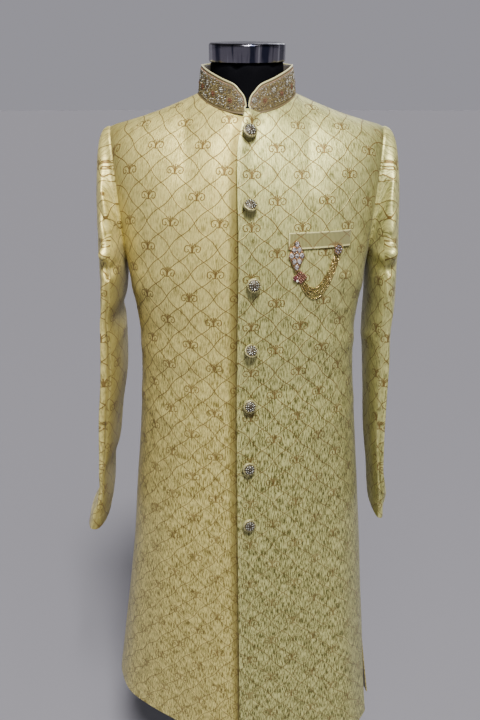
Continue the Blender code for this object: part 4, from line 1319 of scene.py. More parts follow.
def many_bars(name, bars, sides, finish, sharp=55):
    """One piece from many round bars, each a run of points and a radius."""
    points = []
    faces = []
    for run, radius in bars:
        more, extra = swept(run, radius, sides, len(points))
        points += more
        faces += extra
    return make_mesh(name, points, faces, (finish,), sharp=sharp)


def collar_strip():
    marks = collar_marks()
    grid = np.array([[tuple(collar_point(turn, i / COLLAR_ROWS)) for turn in marks]
                     for i in range(COLLAR_ROWS + 1)])
    inward = np.array([tuple(collar_inward(turn)) for turn in marks])
    cut = flat_cut(grid, len(marks) // 2, whole=True)
    item = cloth_piece("collar_cloth", grid, grid + inward * COLLAR_WALL, cut,
                       (collar_finish(), LINING))
    return belongs(item, "embroidery", "collar"), cut


collar, collar_cut = collar_strip()
PIPING = piping_finish()
top_edge = [collar_point(COLLAR_START, k / CORNER_STEPS) - collar_inward(0) * PIPING_RADIUS * 0.8
            for k in range(CORNER_STEPS)]
for turn in collar_marks():
    inward = collar_inward(turn)
    run = collar_point(turn + 0.5, 1) - collar_point(turn - 0.5, 1)
    off = run.cross(inward).normalized() * (PIPING_RADIUS + REST_GAP)
    top_edge.append(collar_point(turn, 1) + inward * COLLAR_WALL / 2 + off)
top_edge += [Vector((-point.x, point.y, point.z)) for point in reversed(top_edge[:CORNER_STEPS])]
piping = many_bars("collar_edge_piping", [(top_edge, PIPING_RADIUS)], 12, PIPING)
belongs(piping, "piping", "collar_piping")
down = Vector((0, 0, FOOT_CORD_DOWN))
foot_line = [collar_point(turn, 0) - collar_inward(turn) * FOOT_CORD_OUT - down
             for turn in collar_marks()]
FOOT_CORD = new_finish("collar_foot_silk", (0.12, 0.085, 0.035), 0.5)[0]
belongs(many_bars("collar_foot_cord", [(foot_line, FOOT_CORD_RADIUS)], 8, FOOT_CORD), "embroidery")
print("collar strip, length and height:", np.round(np.ptp(collar_cut[0, :, 0]), 3),
      np.round(collar_cut[-1, len(collar_marks()) // 2, 1], 3))

# %% [markdown]
# Beads and stitches repeat many times, so Geometry Nodes copies them. One tree sets a bead on
# each point of a mesh, square to the cloth, with its own size. The other walks along a line and
# sets a stitch or a link at an even pitch. Each tree ends by making the copies real.

# %% Trees that repeat a shape
def tree_base(name, inputs):
    tree = bpy.data.node_groups.new(name, "GeometryNodeTree")
    tree.interface.new_socket("Geometry", in_out="INPUT", socket_type="NodeSocketGeometry")
    for label, kind in inputs:
        tree.interface.new_socket(label, in_out="INPUT", socket_type=f"NodeSocket{kind}")
    tree.interface.new_socket("Geometry", in_out="OUTPUT", socket_type="NodeSocketGeometry")
    return tree, tree.nodes.new("NodeGroupInput"), tree.nodes.new("NodeGroupOutput")


def named(tree, kind, name):
    node = add_node(tree, "GeometryNodeInputNamedAttribute", Name=name)
    node.data_type = kind
    return next(socket for socket in node.outputs if socket.enabled)


def finish_tree(tree, copies, source, end):
    """Make the copies real, smooth and finished, and hand them out."""
    real = add_node(tree, "GeometryNodeRealizeInstances", Geometry=copies)
    round_off = add_node(tree, "GeometryNodeSetShadeSmooth", Geometry=real.outputs[0])
    coat = add_node(tree, "GeometryNodeSetMaterial", Geometry=round_off.outputs[0],
                    Material=source.outputs["Finish"])
    tree.links.new(coat.outputs[0], end.inputs[0])


def facing(tree, axis, direction):
    node = add_node(tree, "FunctionNodeAlignRotationToVector", Vector=direction)
    node.axis = axis
    return node.outputs[0]


def bead_tree():
    tree, source, end = tree_base("beads_on_points", (("Detail", "Int"), ("Flat", "Float"),
                                                      ("Finish", "Material")))
    bead = add_node(tree, "GeometryNodeMeshIcoSphere", Radius=1.0,
                    Subdivisions=source.outputs["Detail"])
    shape = add_node(tree, "ShaderNodeCombineXYZ", X=1.0, Y=1.0, Z=source.outputs["Flat"])
    put = add_node(
        tree, "GeometryNodeInstanceOnPoints",
        Points=source.outputs["Geometry"],
        Instance=bead.outputs["Mesh"],
        Rotation=facing(tree, "Z", named(tree, "FLOAT_VECTOR", "out")),
        Scale=vector_calc(tree, "SCALE", shape.outputs[0], scale=named(tree, "FLOAT", "size")),
    )
    finish_tree(tree, put.outputs["Instances"], source, end)
    return tree


def path_tree(name, link):
    """Copies along a path: open links that take turns, or solid stitches."""
    tree, source, end = tree_base(name, (("Pitch", "Float"), ("Size", "Vector"),
                                         ("Roll", "Float"), ("Finish", "Material")))
    curve = add_node(tree, "GeometryNodeMeshToCurve", Mesh=source.outputs["Geometry"])
    walk = add_node(tree, "GeometryNodeResampleCurve", Curve=curve.outputs["Curve"])
    walk.mode = "LENGTH"
    wire(tree, source.outputs["Pitch"], walk.inputs["Length"])
    if link:
        ring = add_node(tree, "GeometryNodeCurvePrimitiveCircle", Resolution=8, Radius=1.0)
        bar = add_node(tree, "GeometryNodeCurvePrimitiveCircle", Resolution=4, Radius=0.30)
        shape = add_node(tree, "GeometryNodeCurveToMesh", Curve=ring.outputs["Curve"],
                         Profile_Curve=bar.outputs["Curve"])
    else:
        shape = add_node(tree, "GeometryNodeMeshIcoSphere", Radius=1.0, Subdivisions=2)
    along = add_node(tree, "GeometryNodeInputTangent").outputs[0]
    odd = calc(tree, "MODULO", add_node(tree, "GeometryNodeInputIndex").outputs[0], 2.0)
    roll = add_node(tree, "FunctionNodeAxisAngleToRotation", Axis=(1.0, 0.0, 0.0),
                    Angle=calc(tree, "MULTIPLY", odd, source.outputs["Roll"]))
    spin = add_node(tree, "FunctionNodeRotateRotation", Rotation=facing(tree, "X", along),
                    Rotate_By=roll.outputs[0])
    spin.rotation_space = "LOCAL"
    put = add_node(tree, "GeometryNodeInstanceOnPoints", Points=walk.outputs["Curve"],
                   Instance=shape.outputs["Mesh"], Rotation=spin.outputs[0],
                   Scale=source.outputs["Size"])
    finish_tree(tree, put.outputs["Instances"], source, end)
    return tree


def run_tree(item, tree, values):
    """Run a tree on an object and keep the result as a plain mesh."""
    modifier = item.modifiers.new(tree.name, "NODES")
    modifier.node_group = tree
    for socket in tree.interface.items_tree:
        if socket.in_out == "INPUT" and socket.name in values:
            modifier[socket.identifier] = values[socket.name]
    item.update_tag()
    done = item.evaluated_get(bpy.context.evaluated_depsgraph_get())
    mesh = bpy.data.meshes.new_from_object(done)
    item.modifiers.clear()
    item.data = mesh
    mesh.name = item.name
    return item


BEADS = bead_tree()
LINKS = path_tree("links_on_path", True)
STITCHES = path_tree("stitches_on_path", False)


def beads(name, rows, finish, flat=0.6, detail=1):
    """Beads at (point, outward direction, radius) rows, as one piece."""
    mesh = bpy.data.meshes.new(name)
    mesh.from_pydata([tuple(row[0]) for row in rows], [], [])
    out = mesh.attributes.new("out", "FLOAT_VECTOR", "POINT")
    out.data.foreach_set("vector", np.array([tuple(row[1]) for row in rows], np.float32).ravel())
    size = mesh.attributes.new("size", "FLOAT", "POINT")
    size.data.foreach_set("value", np.array([row[2] for row in rows], np.float32))
    item = add_object(name, mesh)
    return run_tree(item, BEADS, {"Detail": detail, "Flat": flat, "Finish": finish})


def along_paths(name, paths, tree, pitch, size, finish, roll=0.0):
    """Stitches or links along runs of points, as one piece."""
    points = []
    edges = []
    for path in paths:
        start = len(points)
        points += [tuple(point) for point in path]
        edges += [(i, i + 1) for i in range(start, len(points) - 1)]
    mesh = bpy.data.meshes.new(name)
    mesh.from_pydata(points, edges, [])
    item = add_object(name, mesh)
    values = {"Pitch": pitch, "Size": size, "Roll": roll, "Finish": finish}
    return run_tree(item, tree, values)


print("trees:", BEADS.name, LINKS.name, STITCHES.name)

# %% [markdown]
# The finishes of the trims: small glass and metal beads, dull gold and copper for the brooch, and
# faceted crystal. A real embroiderer mixes pale gold, silver and dark beads, so that the collar
# looks antique. Each colour is one finish, with a slight change of tone from place to place.

# %% Finishes of the trims
def speckled(name, first, second, rough, metal, scale=900.0, **extras):
    """Finish whose colour changes between two tones from bead to bead."""
    finish, tree, shader = new_finish(name, first, rough, metal, **extras)
    tone = noise(tree, object_place(tree), scale, 1.0)
    colour = mix_colour(tree, soft_step(tree, tone, 0.35, 0.65), (*first, 1.0), (*second, 1.0))
    paint(tree, shader, colour)
    return finish


GOLD_BEAD = speckled("bead_gold", (0.15, 0.115, 0.035), (0.40, 0.33, 0.14), 0.36, 0.70)
SILVER_BEAD = speckled("bead_silver", (0.30, 0.30, 0.27), (0.62, 0.62, 0.57), 0.28, 0.80)
DARK_BEAD = speckled("bead_dark", (0.025, 0.018, 0.014), (0.10, 0.07, 0.045), 0.30, 0.30)
RED_BEAD = speckled("bead_red_brown", (0.07, 0.020, 0.010), (0.26, 0.10, 0.05), 0.35, 0.20)
PINK_THREAD = speckled("thread_pink", (0.26, 0.13, 0.08), (0.52, 0.34, 0.22), 0.50, 0.10)
COPPER = speckled("brooch_copper", (0.58, 0.33, 0.16), (0.74, 0.50, 0.26), 0.26, 1.0, 300.0)
ROSE_GOLD = speckled("drop_rose_gold", (0.50, 0.24, 0.18), (0.66, 0.38, 0.28), 0.30, 1.0, 400.0)
CHAIN_GOLD = speckled("chain_gold", (0.22, 0.15, 0.05), (0.86, 0.68, 0.32), 0.22, 1.0, 500.0)
STONE = speckled("stone_clear", (0.10, 0.085, 0.09), (0.95, 0.90, 0.90), 0.08, 0.50, 420.0,
                 Coat_Weight=0.6)
GREY_STONE = speckled("stone_grey", (0.04, 0.035, 0.04), (0.20, 0.17, 0.19), 0.12, 0.2, 260.0,
                      Coat_Weight=0.6)
GARNET = speckled("stone_garnet", (0.07, 0.010, 0.018), (0.16, 0.03, 0.045), 0.12, 0.0, 300.0,
                  Coat_Weight=0.8)
PEARL = speckled("pearl", (0.70, 0.64, 0.58), (0.80, 0.76, 0.72), 0.22, 0.0, 200.0,
                 Coat_Weight=0.4)
RIM_CLOTH = speckled("button_rim_cloth", (0.20, 0.18, 0.07), (0.44, 0.41, 0.20), 0.5, 0.3, 500.0)
STITCH = speckled("stitch_thread", (0.62, 0.56, 0.28), (0.74, 0.69, 0.42), 0.5, 0.1, 400.0)
print("last finish of the trims:", STITCH.name)

# %% [markdown]
# The collar's beads follow simple rules. Flowers stand about 16 mm apart, higher and lower by
# turns, red-brown and silver by turns: a centre bead with a ring of petals and an outer ring.
# Between them the field is filled with jittered rows of gold, silver and dark beads. Two bead
# borders run along the top and the foot. The points are worked out on the strip's own surface.

# %% Beads of the collar
FLOWER_PITCH = 0.0165
FLOWER_CLEAR = 0.0066
FLOWER_RINGS = ((0.0030, 6, 0.0013), (0.0052, 12, 0.0008))
BEAD_PITCH = 0.0027
BEAD_SEED = 11
FIELD_HIGH = 0.040
BORDER_PITCH = 0.0021
BORDER_BEAD = 0.00085
BORDER_TOP = 0.0038
BORDER_FOOT = 0.0032
COLLAR_TURNS = np.array(collar_marks(), float)
COLLAR_ARCS = collar_cut[0, :, 0]


def collar_seat(arc, rise):
    """Point and outward direction on the collar at an arc length from its back centre."""
    turn = float(np.interp(arc, COLLAR_ARCS, COLLAR_TURNS))
    near = collar_point(turn, rise)
    inward = collar_inward(turn)
    up = collar_point(turn, 1.0) - collar_point(turn, 0.0)
    side = inward.cross(up).normalized()
    return near, side.cross(up).normalized() * (1 if side.cross(up).dot(inward) < 0 else -1)


def collar_beads():
    chance = np.random.default_rng(BEAD_SEED)
    lots = {"gold": [], "silver": [], "dark": [], "red": []}
    reach = COLLAR_ARCS[-1] - 0.001
    flowers = []
    count = int(2 * reach / FLOWER_PITCH)
    for i in range(count + 1):
        arc = -reach + 0.006 + i * (2 * reach - 0.012) / count
        flowers.append((arc, 0.40 if i % 2 else 0.66, "red" if i % 2 else "silver"))

    def high_at(arc):
        turn = float(np.interp(arc, COLLAR_ARCS, COLLAR_TURNS))
        return smooth(COLLAR_RISE, "high", min(turn, 360 - turn))

    def put(lot, arc, high, size, lift=0.3):
        tall = high_at(arc)
        if abs(arc) > reach or not 0.0012 < high < tall - 0.0010:
            return
        point, out = collar_seat(arc, high / tall)
        lots[lot].append((point + out * size * lift, out, size))

    for arc, share, lot in flowers:
        middle = share * high_at(arc)
        put(lot, arc, middle, 0.0017, 0.5)
        for radius, number, size in FLOWER_RINGS:
            for k in range(number):
                angle = 2 * math.pi * (k + 0.3) / number
                which = lot if radius < 0.004 else "gold" if lot == "red" else "dark"
                put(which, arc + radius * math.cos(angle), middle + radius * math.sin(angle), size)
    rows = int(FIELD_HIGH / BEAD_PITCH)
    for j in range(rows):
        for i in range(int(2 * reach / BEAD_PITCH)):
            arc = -reach + (i + 0.5 * (j % 2)) * BEAD_PITCH + chance.uniform(-0.0006, 0.0006)
            high = 0.0045 + j * BEAD_PITCH * 0.86 + chance.uniform(-0.0005, 0.0005)
            pick = chance.random()
            size = chance.uniform(0.0008, 0.00125)
            if high > high_at(arc) - 0.0050:
                continue
            if any(math.hypot(arc - a, high - s * high_at(a)) < FLOWER_CLEAR
                   for a, s, _ in flowers):
                continue
            put("gold" if pick < 0.43 else "silver" if pick < 0.72 else "dark", arc, high, size)
    steps = int(2 * reach / BORDER_PITCH)
    for i in range(steps + 1):
        arc = -reach + i * 2 * reach / steps
        put("silver" if i % 3 else "gold", arc, high_at(arc) - BORDER_TOP, BORDER_BEAD)
        put("gold", arc, BORDER_FOOT, BORDER_BEAD)
    return lots


lots = collar_beads()
for lot, finish in (("gold", GOLD_BEAD), ("silver", SILVER_BEAD), ("dark", DARK_BEAD),
                    ("red", RED_BEAD)):
    belongs(beads(f"collar_beads_{lot}", lots[lot], finish), "embroidery")


def collar_line(back_off, out):
    """Line along the collar at a depth below its top edge."""
    line = []
    for arc in np.linspace(COLLAR_ARCS[0] + 0.0005, COLLAR_ARCS[-1] - 0.0005, 260):
        turn = float(np.interp(arc, COLLAR_ARCS, COLLAR_TURNS))
        tall = smooth(COLLAR_RISE, "high", min(turn, 360 - turn))
        point, side = collar_seat(arc, max(1 - back_off / tall, 0.05))
        line.append(point + side * out)
    return line


thread = along_paths("collar_thread", [collar_line(0.0020, 0.0002)], STITCHES, 0.0016,
                     (0.00085, 0.0005, 0.0005), PINK_THREAD)
belongs(thread, "piping")
print("beads on the collar:", sum(len(rows) for rows in lots.values()))

# %% [markdown]
# What lies on the coat is set on the finished cloth. A ray from the front finds the left front at
# a given place, and a small table of its face normals gives the direction out of the cloth.

# %% Seats on the left front
Button = namedtuple("Button", "x z tip")
BUTTONS = (
    Button(0.001, 1.4180, 14),
    Button(0.002, 1.3120, 40),
    Button(0.009, 1.1950, 14),
    Button(0.005, 1.0860, 35),
    Button(0.003, 0.9930, 8),
    Button(0.002, 0.8830, 3),
    Button(0.003, 0.7790, 3),
)
BUTTON_RADIUS = 0.0115
NEAR = 0.006


def search_tree(item):
    work = bmesh.new()
    work.from_mesh(item.data)
    tree = BVHTree.FromBMesh(work)
    work.free()
    return tree


LEFT_TREE = search_tree(front_left)


def on_cloth(x, z, out=0.0):
    """Point at a distance off the left front, and the direction out of it."""
    spot = LEFT_TREE.ray_cast(Vector((x, -1, z)), Vector((0, 1, 0)))[0]
    around_it = Vector((0, 0, 0))
    for dx, dz in ((0, 0), (NEAR, 0), (-NEAR, 0), (0, NEAR), (0, -NEAR)):
        hit, side, _, _ = LEFT_TREE.ray_cast(Vector((x + dx, -1, z + dz)), Vector((0, 1, 0)))
        if hit is not None:
            around_it += side
    normal = around_it.normalized()
    return spot + normal * out, normal


def seat(x, z, out, tip=0.0, spin=0.0):
    """Frame on the cloth: x across, y up the cloth, z out of it."""
    point, normal = on_cloth(x, z, out)
    lift = math.radians(tip)
    normal = (normal * math.cos(lift) + Vector((0, 0, 1)) * math.sin(lift)).normalized()
    side = Vector((0, 0, 1)).cross(normal).normalized()
    up = normal.cross(side)
    angle = math.radians(spin)
    across = side * math.cos(angle) + up * math.sin(angle)
    along = up * math.cos(angle) - side * math.sin(angle)
    frame_at = Matrix((across, along, normal)).transposed().to_4x4()
    frame_at.translation = point
    return frame_at


def turned_points(profile, place, sides):
    """Points and faces of a turned shape in a frame, from foot to top."""
    points = []
    for radius, high in profile:
        for k in range(sides):
            angle = 2 * math.pi * k / sides
            spot = Vector((radius * math.cos(angle), radius * math.sin(angle), high))
            points.append(tuple(place @ spot))
    return points, tube_faces(len(profile), sides, 0)

# %% [markdown]
# The seven buttons are covered in cloth and capped with beads. Each has a short shank, a thick
# ridged body and a domed face with rings of silver beads round a dark centre. The second and the
# fourth tip upward most, as the photograph shows.

# %% Buttons
BUTTON_BODY = (
    (0.26, 0.0000), (0.26, 0.0022), (0.70, 0.0026), (0.90, 0.0034), (0.96, 0.0044),
    (0.90, 0.0051), (0.99, 0.0060), (1.00, 0.0068), (0.92, 0.0075), (0.97, 0.0083),
    (0.93, 0.0091), (0.82, 0.0093), (0.76, 0.0094), (0.55, 0.0112), (0.28, 0.0123),
    (0.05, 0.0126),
)
BUTTON_SIDES = 40
DOME_FROM = 11
DOME = new_finish("button_dome", (0.05, 0.04, 0.022), 0.45, 0.5)[0]
BeadRing = namedtuple("BeadRing", "share high number size lot")
BUTTON_RINGS = (
    BeadRing(0.76, 0.0096, 16, 0.00090, "gold"),
    BeadRing(0.58, 0.0108, 10, 0.00125, "silver"),
    BeadRing(0.36, 0.0119, 6, 0.00115, "silver"),
    BeadRing(0.20, 0.0124, 4, 0.00080, "dark"),
    BeadRing(0.00, 0.0126, 1, 0.00130, "dark"),
)
dome_beads = {"silver": [], "gold": [], "dark": []}
for i, row in enumerate(BUTTONS):
    lift = REST_GAP + BUTTON_RADIUS * 0.30 * math.sin(math.radians(row.tip))
    at = seat(row.x, row.z, lift, row.tip)
    out = at.to_3x3().col[2].copy()
    profile = [(share * BUTTON_RADIUS, high) for share, high in BUTTON_BODY]
    points, faces = turned_points(profile, at, BUTTON_SIDES)
    kinds = [1 if k >= BUTTON_SIDES * DOME_FROM else 0 for k in range(len(faces) - 2)] + [0, 1]
    body_item = make_mesh(f"button_{i + 1}_body", points, faces, (RIM_CLOTH, DOME), kinds,
                          sharp=75)
    belongs(body_item, "button", f"button_{i + 1}")
    for ring in BUTTON_RINGS:
        for k in range(ring.number):
            angle = 2 * math.pi * (k + 0.5) / ring.number
            spot = Vector((ring.share * BUTTON_RADIUS * math.cos(angle),
                           ring.share * BUTTON_RADIUS * math.sin(angle), ring.high))
            dome_beads[ring.lot].append((at @ spot, out, ring.size))

belongs(beads("button_beads_silver", dome_beads["silver"], SILVER_BEAD, 0.85, 2), "button")
belongs(beads("button_beads_gold", dome_beads["gold"], GOLD_BEAD, 0.85, 2), "button")
belongs(beads("button_centres", dome_beads["dark"], DARK_BEAD, 0.6, 3), "button")

# %% [markdown]
# The breast pocket has a welt: a folded strip of the same silk, sewn on at both ends. Its edge
# stands up in a soft rim and its middle is ribbed by close rows of stitching.

# %% Pocket welt
WELT_LEFT = 0.062
WELT_RIGHT = 0.159
WELT_TOP = 1.2745
WELT_BOTTOM = 1.2495
WELT_THICK = 0.0015
WELT_GAP = 0.0009
WELT_COLUMNS = 150
WELT_ROWS = 30
WELT_RIM = 0.0015
WELT_RIM_OUT = 0.0008
WELT_RIB = 0.0022


def welt_finish():
    finish, tree, shader = new_finish("welt_silk", (0.50, 0.43, 0.19), 0.45, 0.1,
                                      Sheen_Weight=0.25)
    uv = uv_place(tree)
    across = split(tree, uv)[0]
    rib = calc(tree, "PINGPONG", calc(tree, "MULTIPLY", across, REPEAT / WELT_RIB), 0.5)
    rib = soft_step(tree, rib, 0.02, 0.30)
    chart = woven_chart(tree, uv)
    ground = mix_colour(tree, rib, (0.110, 0.100, 0.026, 1.0), (0.300, 0.280, 0.105, 1.0))
    ground = mix_colour(tree, named_share(tree, "rim"), ground, (0.64, 0.60, 0.26, 1.0))
    thread = calc(tree, "MULTIPLY", chart, 0.9)
    paint(tree, shader, mix_colour(tree, thread, ground, THREAD))
    add_bump(tree, shader, rib, 0.5, 0.0006)
    return finish


def welt_piece():
    xs = np.linspace(WELT_LEFT, WELT_RIGHT, WELT_COLUMNS + 1)
    zs = np.linspace(WELT_BOTTOM, WELT_TOP, WELT_ROWS + 1)
    outer = []
    inner = []
    rims = []
    for z in zs:
        out_row = []
        in_row = []
        for x in xs:
            away = min(z - WELT_BOTTOM, WELT_TOP - z, x - WELT_LEFT)
            rim = math.exp(-((away - 0.0010) / WELT_RIM) ** 2 * 2)
            rims.append(rim)
            high = WELT_GAP + WELT_THICK + WELT_RIM_OUT * rim
            point, normal = on_cloth(x, z)
            out_row.append(tuple(point + normal * high))
            in_row.append(tuple(point + normal * WELT_GAP))
        outer.append(out_row)
        inner.append(in_row)
    outer = np.array(outer)
    cut = flat_cut(outer, 0, whole=True)
    item = cloth_piece("pocket_welt_cloth", outer, np.array(inner), cut, (welt_finish(), LINING))
    rim = item.data.attributes.new("rim", "FLOAT", "POINT")
    rim.data.foreach_set("value", np.array(rims + rims, np.float32))
    return belongs(item, "brocade", "pocket_welt"), cut


welt, welt_cut = welt_piece()

# %% [markdown]
# The hem, the cuffs and the front edge are turned in and caught by hand with small stitches of
# matching silk. Each run follows a row or column of the cloth's own points, lifted a little, and
# the copies of one stitch turn with it.

# %% Stitches
HEM_TURN = 0.025
STITCH_PITCH = 0.004
STITCH_SIZE = (0.0011, 0.00022, 0.00022)
EDGE_COLUMN = 2


def turned_row(grid):
    """Row of points at the turning's height above the lower edge."""
    middle = grid[:, grid.shape[1] // 2, 2]
    return grid[int(np.argmin(np.abs(middle - middle[0] - HEM_TURN)))][1:-1]


runs = [turned_row(grid) for grid in cloth_faces.values()]
runs.append(cloth_faces["front_left"][1:-1, EDGE_COLUMN])
sewing = along_paths("turning_stitches", runs, STITCHES, STITCH_PITCH, STITCH_SIZE, STITCH)
belongs(sewing, "brocade")

# %% [markdown]
# The brooch is made of metal and glass. Nine pointed oval stones in rows of 1, 2, 3, 2 and 1 form
# a lozenge. Below it a drop of ribbed tubes slants to the right beside a small cluster of garnet
# beads. Fine chains run from the drop to a round clasp of grey stones and hang in loops.

# %% Brooch, drop and clasp
BROOCH_AT = (0.0745, 1.2400)
DROP_AT = (0.0815, 1.2070)
CLASP_AT = (0.1395, 1.2455)
STONE_HALF = (0.0038, 0.0048)
STONE_PITCH = (0.0080, 0.0088)
BROOCH_ROWS = (1, 2, 3, 2, 1)
BROOCH_LIFT = 0.0034
STONE_HIGH = 0.0040
RIM_WIRE = 0.0005
RIM_STEPS = 24
TUBE_ROWS = 5
TUBE_STEPS = 7
TUBE_SPACE = 0.0031
TUBE_PITCH = 0.0023
TUBE_LONG = 0.0019
TUBE_START = -0.0078
CLASP_STONES = 7


def pointed(half, share, angle, high):
    """Point of an oval with two pointed ends."""
    taper = 1 - abs(math.sin(angle)) ** 2.2 * 0.55
    return Vector((half[0] * share * math.cos(angle) * (0.45 + 0.55 * taper),
                   half[1] * share * math.sin(angle), high))


def navette(place, half, high, sides=8):
    """Faceted stone with two pointed ends, standing in a frame."""
    points = []
    for share, level in ((0.86, 0.0), (1.0, 0.30), (0.66, 0.85), (0.30, 1.0)):
        for k in range(sides):
            spot = pointed(half, share, 2 * math.pi * k / sides, high * level)
            points.append(tuple(place @ spot))
    faces = [(j * sides + k, j * sides + (k + 1) % sides, (j + 1) * sides + (k + 1) % sides,
              (j + 1) * sides + k) for j in range(3) for k in range(sides)]
    faces.append(tuple(reversed(range(sides))))
    faces.append(tuple(3 * sides + k for k in range(sides)))
    return points, faces


def join(parts):
    points = []
    faces = []
    for more, extra in parts:
        start = len(points)
        points += more
        faces += [tuple(start + i for i in face) for face in extra]
    return points, faces


def loop_bar(place, half, radius, high):
    """Closed rim of wire round a stone, as a run of points."""
    line = [place @ pointed(half, 1.0, 2 * math.pi * k / RIM_STEPS, high)
            for k in range(RIM_STEPS + 1)]
    return line, radius


brooch_seat = seat(*BROOCH_AT, BROOCH_LIFT)
stones = []
bars = []
grains = []
for row, number in enumerate(BROOCH_ROWS):
    for k in range(number):
        place = brooch_seat @ Matrix.Translation(((k - (number - 1) / 2) * STONE_PITCH[0],
                                                  (2 - row) * STONE_PITCH[1], 0.0))
        stones.append(navette(place, STONE_HALF, STONE_HIGH))
        rim_half = (STONE_HALF[0] + 0.0004, STONE_HALF[1] + 0.0005)
        bars.append(loop_bar(place, rim_half, RIM_WIRE, 0.0011))
        for end in (-1, 1):
            spot = place @ Vector((0, end * (STONE_HALF[1] + 0.0003), 0.0020))
            grains.append((spot, brooch_seat.to_3x3().col[2], 0.0008))
points, faces = join(stones)
belongs(make_mesh("brooch_stones", points, faces, (STONE,), sharp=18), "gilt", "brooch")
belongs(many_bars("brooch_rims", bars, 8, COPPER), "gilt")
outline = [(0.0022, 0.0226), (0.0074, 0.0120), (0.0116, 0.0030), (0.0116, -0.0030),
           (0.0074, -0.0120), (0.0022, -0.0226)]
outline += [(-x, z) for x, z in reversed(outline)]
plate = [tuple(brooch_seat @ Vector((x, z, high))) for high in (-0.0008, 0.0004)
         for x, z in outline]
size = len(outline)
plate_faces = [tuple(range(size)), tuple(reversed(range(size, 2 * size)))]
plate_faces += [(k, k + size, (k + 1) % size + size, (k + 1) % size) for k in range(size)]
belongs(make_mesh("brooch_plate", plate, plate_faces, (COPPER,), sharp=30), "gilt")
belongs(beads("brooch_grains", grains, COPPER, 0.9, 2), "gilt")

drop_seat = seat(*DROP_AT, 0.0030, spin=-42)
tubes = []
for k in range(TUBE_ROWS):
    side = (k - TUBE_ROWS // 2) * TUBE_SPACE
    for step in range(TUBE_STEPS):
        start_x = TUBE_START + step * TUBE_PITCH
        start = drop_seat @ Vector((start_x, side, 0.0))
        end = drop_seat @ Vector((start_x + TUBE_LONG, side, 0.0))
        tubes.append(([start, start.lerp(end, 0.5), end], [0.0011, 0.00155, 0.0011]))
belongs(many_bars("brooch_drop_tubes", tubes, 10, ROSE_GOLD), "gilt", "brooch_drop")
cluster_seat = seat(DROP_AT[0] - 0.0082, DROP_AT[1] - 0.0015, 0.0034)
cluster = []
for x, z, high in ((0, 0, 0.0012), (0.0026, 0.0012, 0.0002), (-0.0024, 0.0014, 0.0002),
                   (0.0010, -0.0028, 0.0003), (-0.0020, -0.0022, 0.0004), (0.0004, 0.0032, 0)):
    cluster.append((cluster_seat @ Vector((x, z, high)), cluster_seat.to_3x3().col[2], 0.0015))
belongs(beads("brooch_garnets", cluster, GARNET, 0.95, 3), "gilt")
pearl_at = cluster_seat @ Vector((0.0030, -0.0044, 0.0008))
belongs(beads("brooch_pearl", [(pearl_at, cluster_seat.to_3x3().col[2], 0.0019)], PEARL, 1.0, 3),
        "gilt")

clasp_seat = seat(*CLASP_AT, 0.0034)
clasp_out = clasp_seat.to_3x3().col[2].copy()
points, faces = turned_points(((0.0078, -0.0006), (0.0080, 0.0004), (0.0070, 0.0010),
                               (0.0030, 0.0016)), clasp_seat, 32)
belongs(make_mesh("clasp_plate", points, faces, (COPPER,), sharp=40), "gilt", "brooch_clasp")
stones = [(clasp_seat @ Vector((0, 0, 0.0022)), clasp_out, 0.0022)]
rims = []
for k in range(CLASP_STONES):
    angle = 2 * math.pi * k / CLASP_STONES
    spot = Vector((0.0051 * math.cos(angle), 0.0051 * math.sin(angle), 0.0014))
    stones.append((clasp_seat @ spot, clasp_out, 0.0020))
    edge_spot = Vector((0.0074 * math.cos(angle + 0.45), 0.0074 * math.sin(angle + 0.45), 0.0008))
    rims.append((clasp_seat @ edge_spot, clasp_out, 0.0008))
belongs(beads("clasp_stones", stones, GREY_STONE, 0.8, 2), "gilt")
belongs(beads("clasp_grains", rims, CHAIN_GOLD, 0.9, 2), "gilt")

# %% [markdown]
# The chains are cable chains of small round links that take turns, so every second link stands on
# edge. Their lines are the same as in the rigid solids, and both ends are pinned.

# %% Chains
CHAIN_COUNT = 4
CHAIN_START = (0.0905, 1.1960)
CHAIN_END = (0.1345, 1.2357)
CHAIN_PITCH = 0.0029
CHAIN_SAG = 0.025
CHAIN_SAG_STEP = 0.0060
CHAIN_OFF = 0.0019
LINK_PITCH = 0.0022
LINK_SIZE = (0.00180, 0.00115, 0.00115)
TOP_BEADS = (58, 55, 52)


def chain_line(index, steps=60):
    start_x = CHAIN_START[0] - CHAIN_PITCH * index
    end_x = CHAIN_END[0] + CHAIN_PITCH * index
    sag = CHAIN_SAG + CHAIN_SAG_STEP * index
    line = []
    for i in range(steps + 1):
        k = i / steps
        x = blend(start_x, end_x, k)
        z = blend(CHAIN_START[1], CHAIN_END[1], k) - sag * 4 * k * (1 - k)
        line.append(on_cloth(x, z, CHAIN_OFF)[0])
    return line


for index in range(CHAIN_COUNT):
    links = along_paths(f"chain_{index + 1}_links", [chain_line(index)], LINKS, LINK_PITCH,
                        LINK_SIZE, CHAIN_GOLD, math.pi / 2)
    belongs(links, "gilt", f"brooch_chain_{index + 1}")
top_beads = []
for index in range(CHAIN_COUNT):
    line = chain_line(index)
    for k in TOP_BEADS:
        top_beads.append((line[k], on_cloth(line[k].x, line[k].z)[1], 0.0013))
belongs(beads("chain_top_beads", top_beads, CHAIN_GOLD, 0.9, 2), "gilt")

# %% [markdown]
# The dress form that wears the coat is a black covered torso without limbs, with a polished metal
# cap on its neck, a metal pole and a round base. Most of it is hidden. The torso keeps the shape
# of its rigid solid, smoothed once. The cap, pole and base are turned again with more sides.

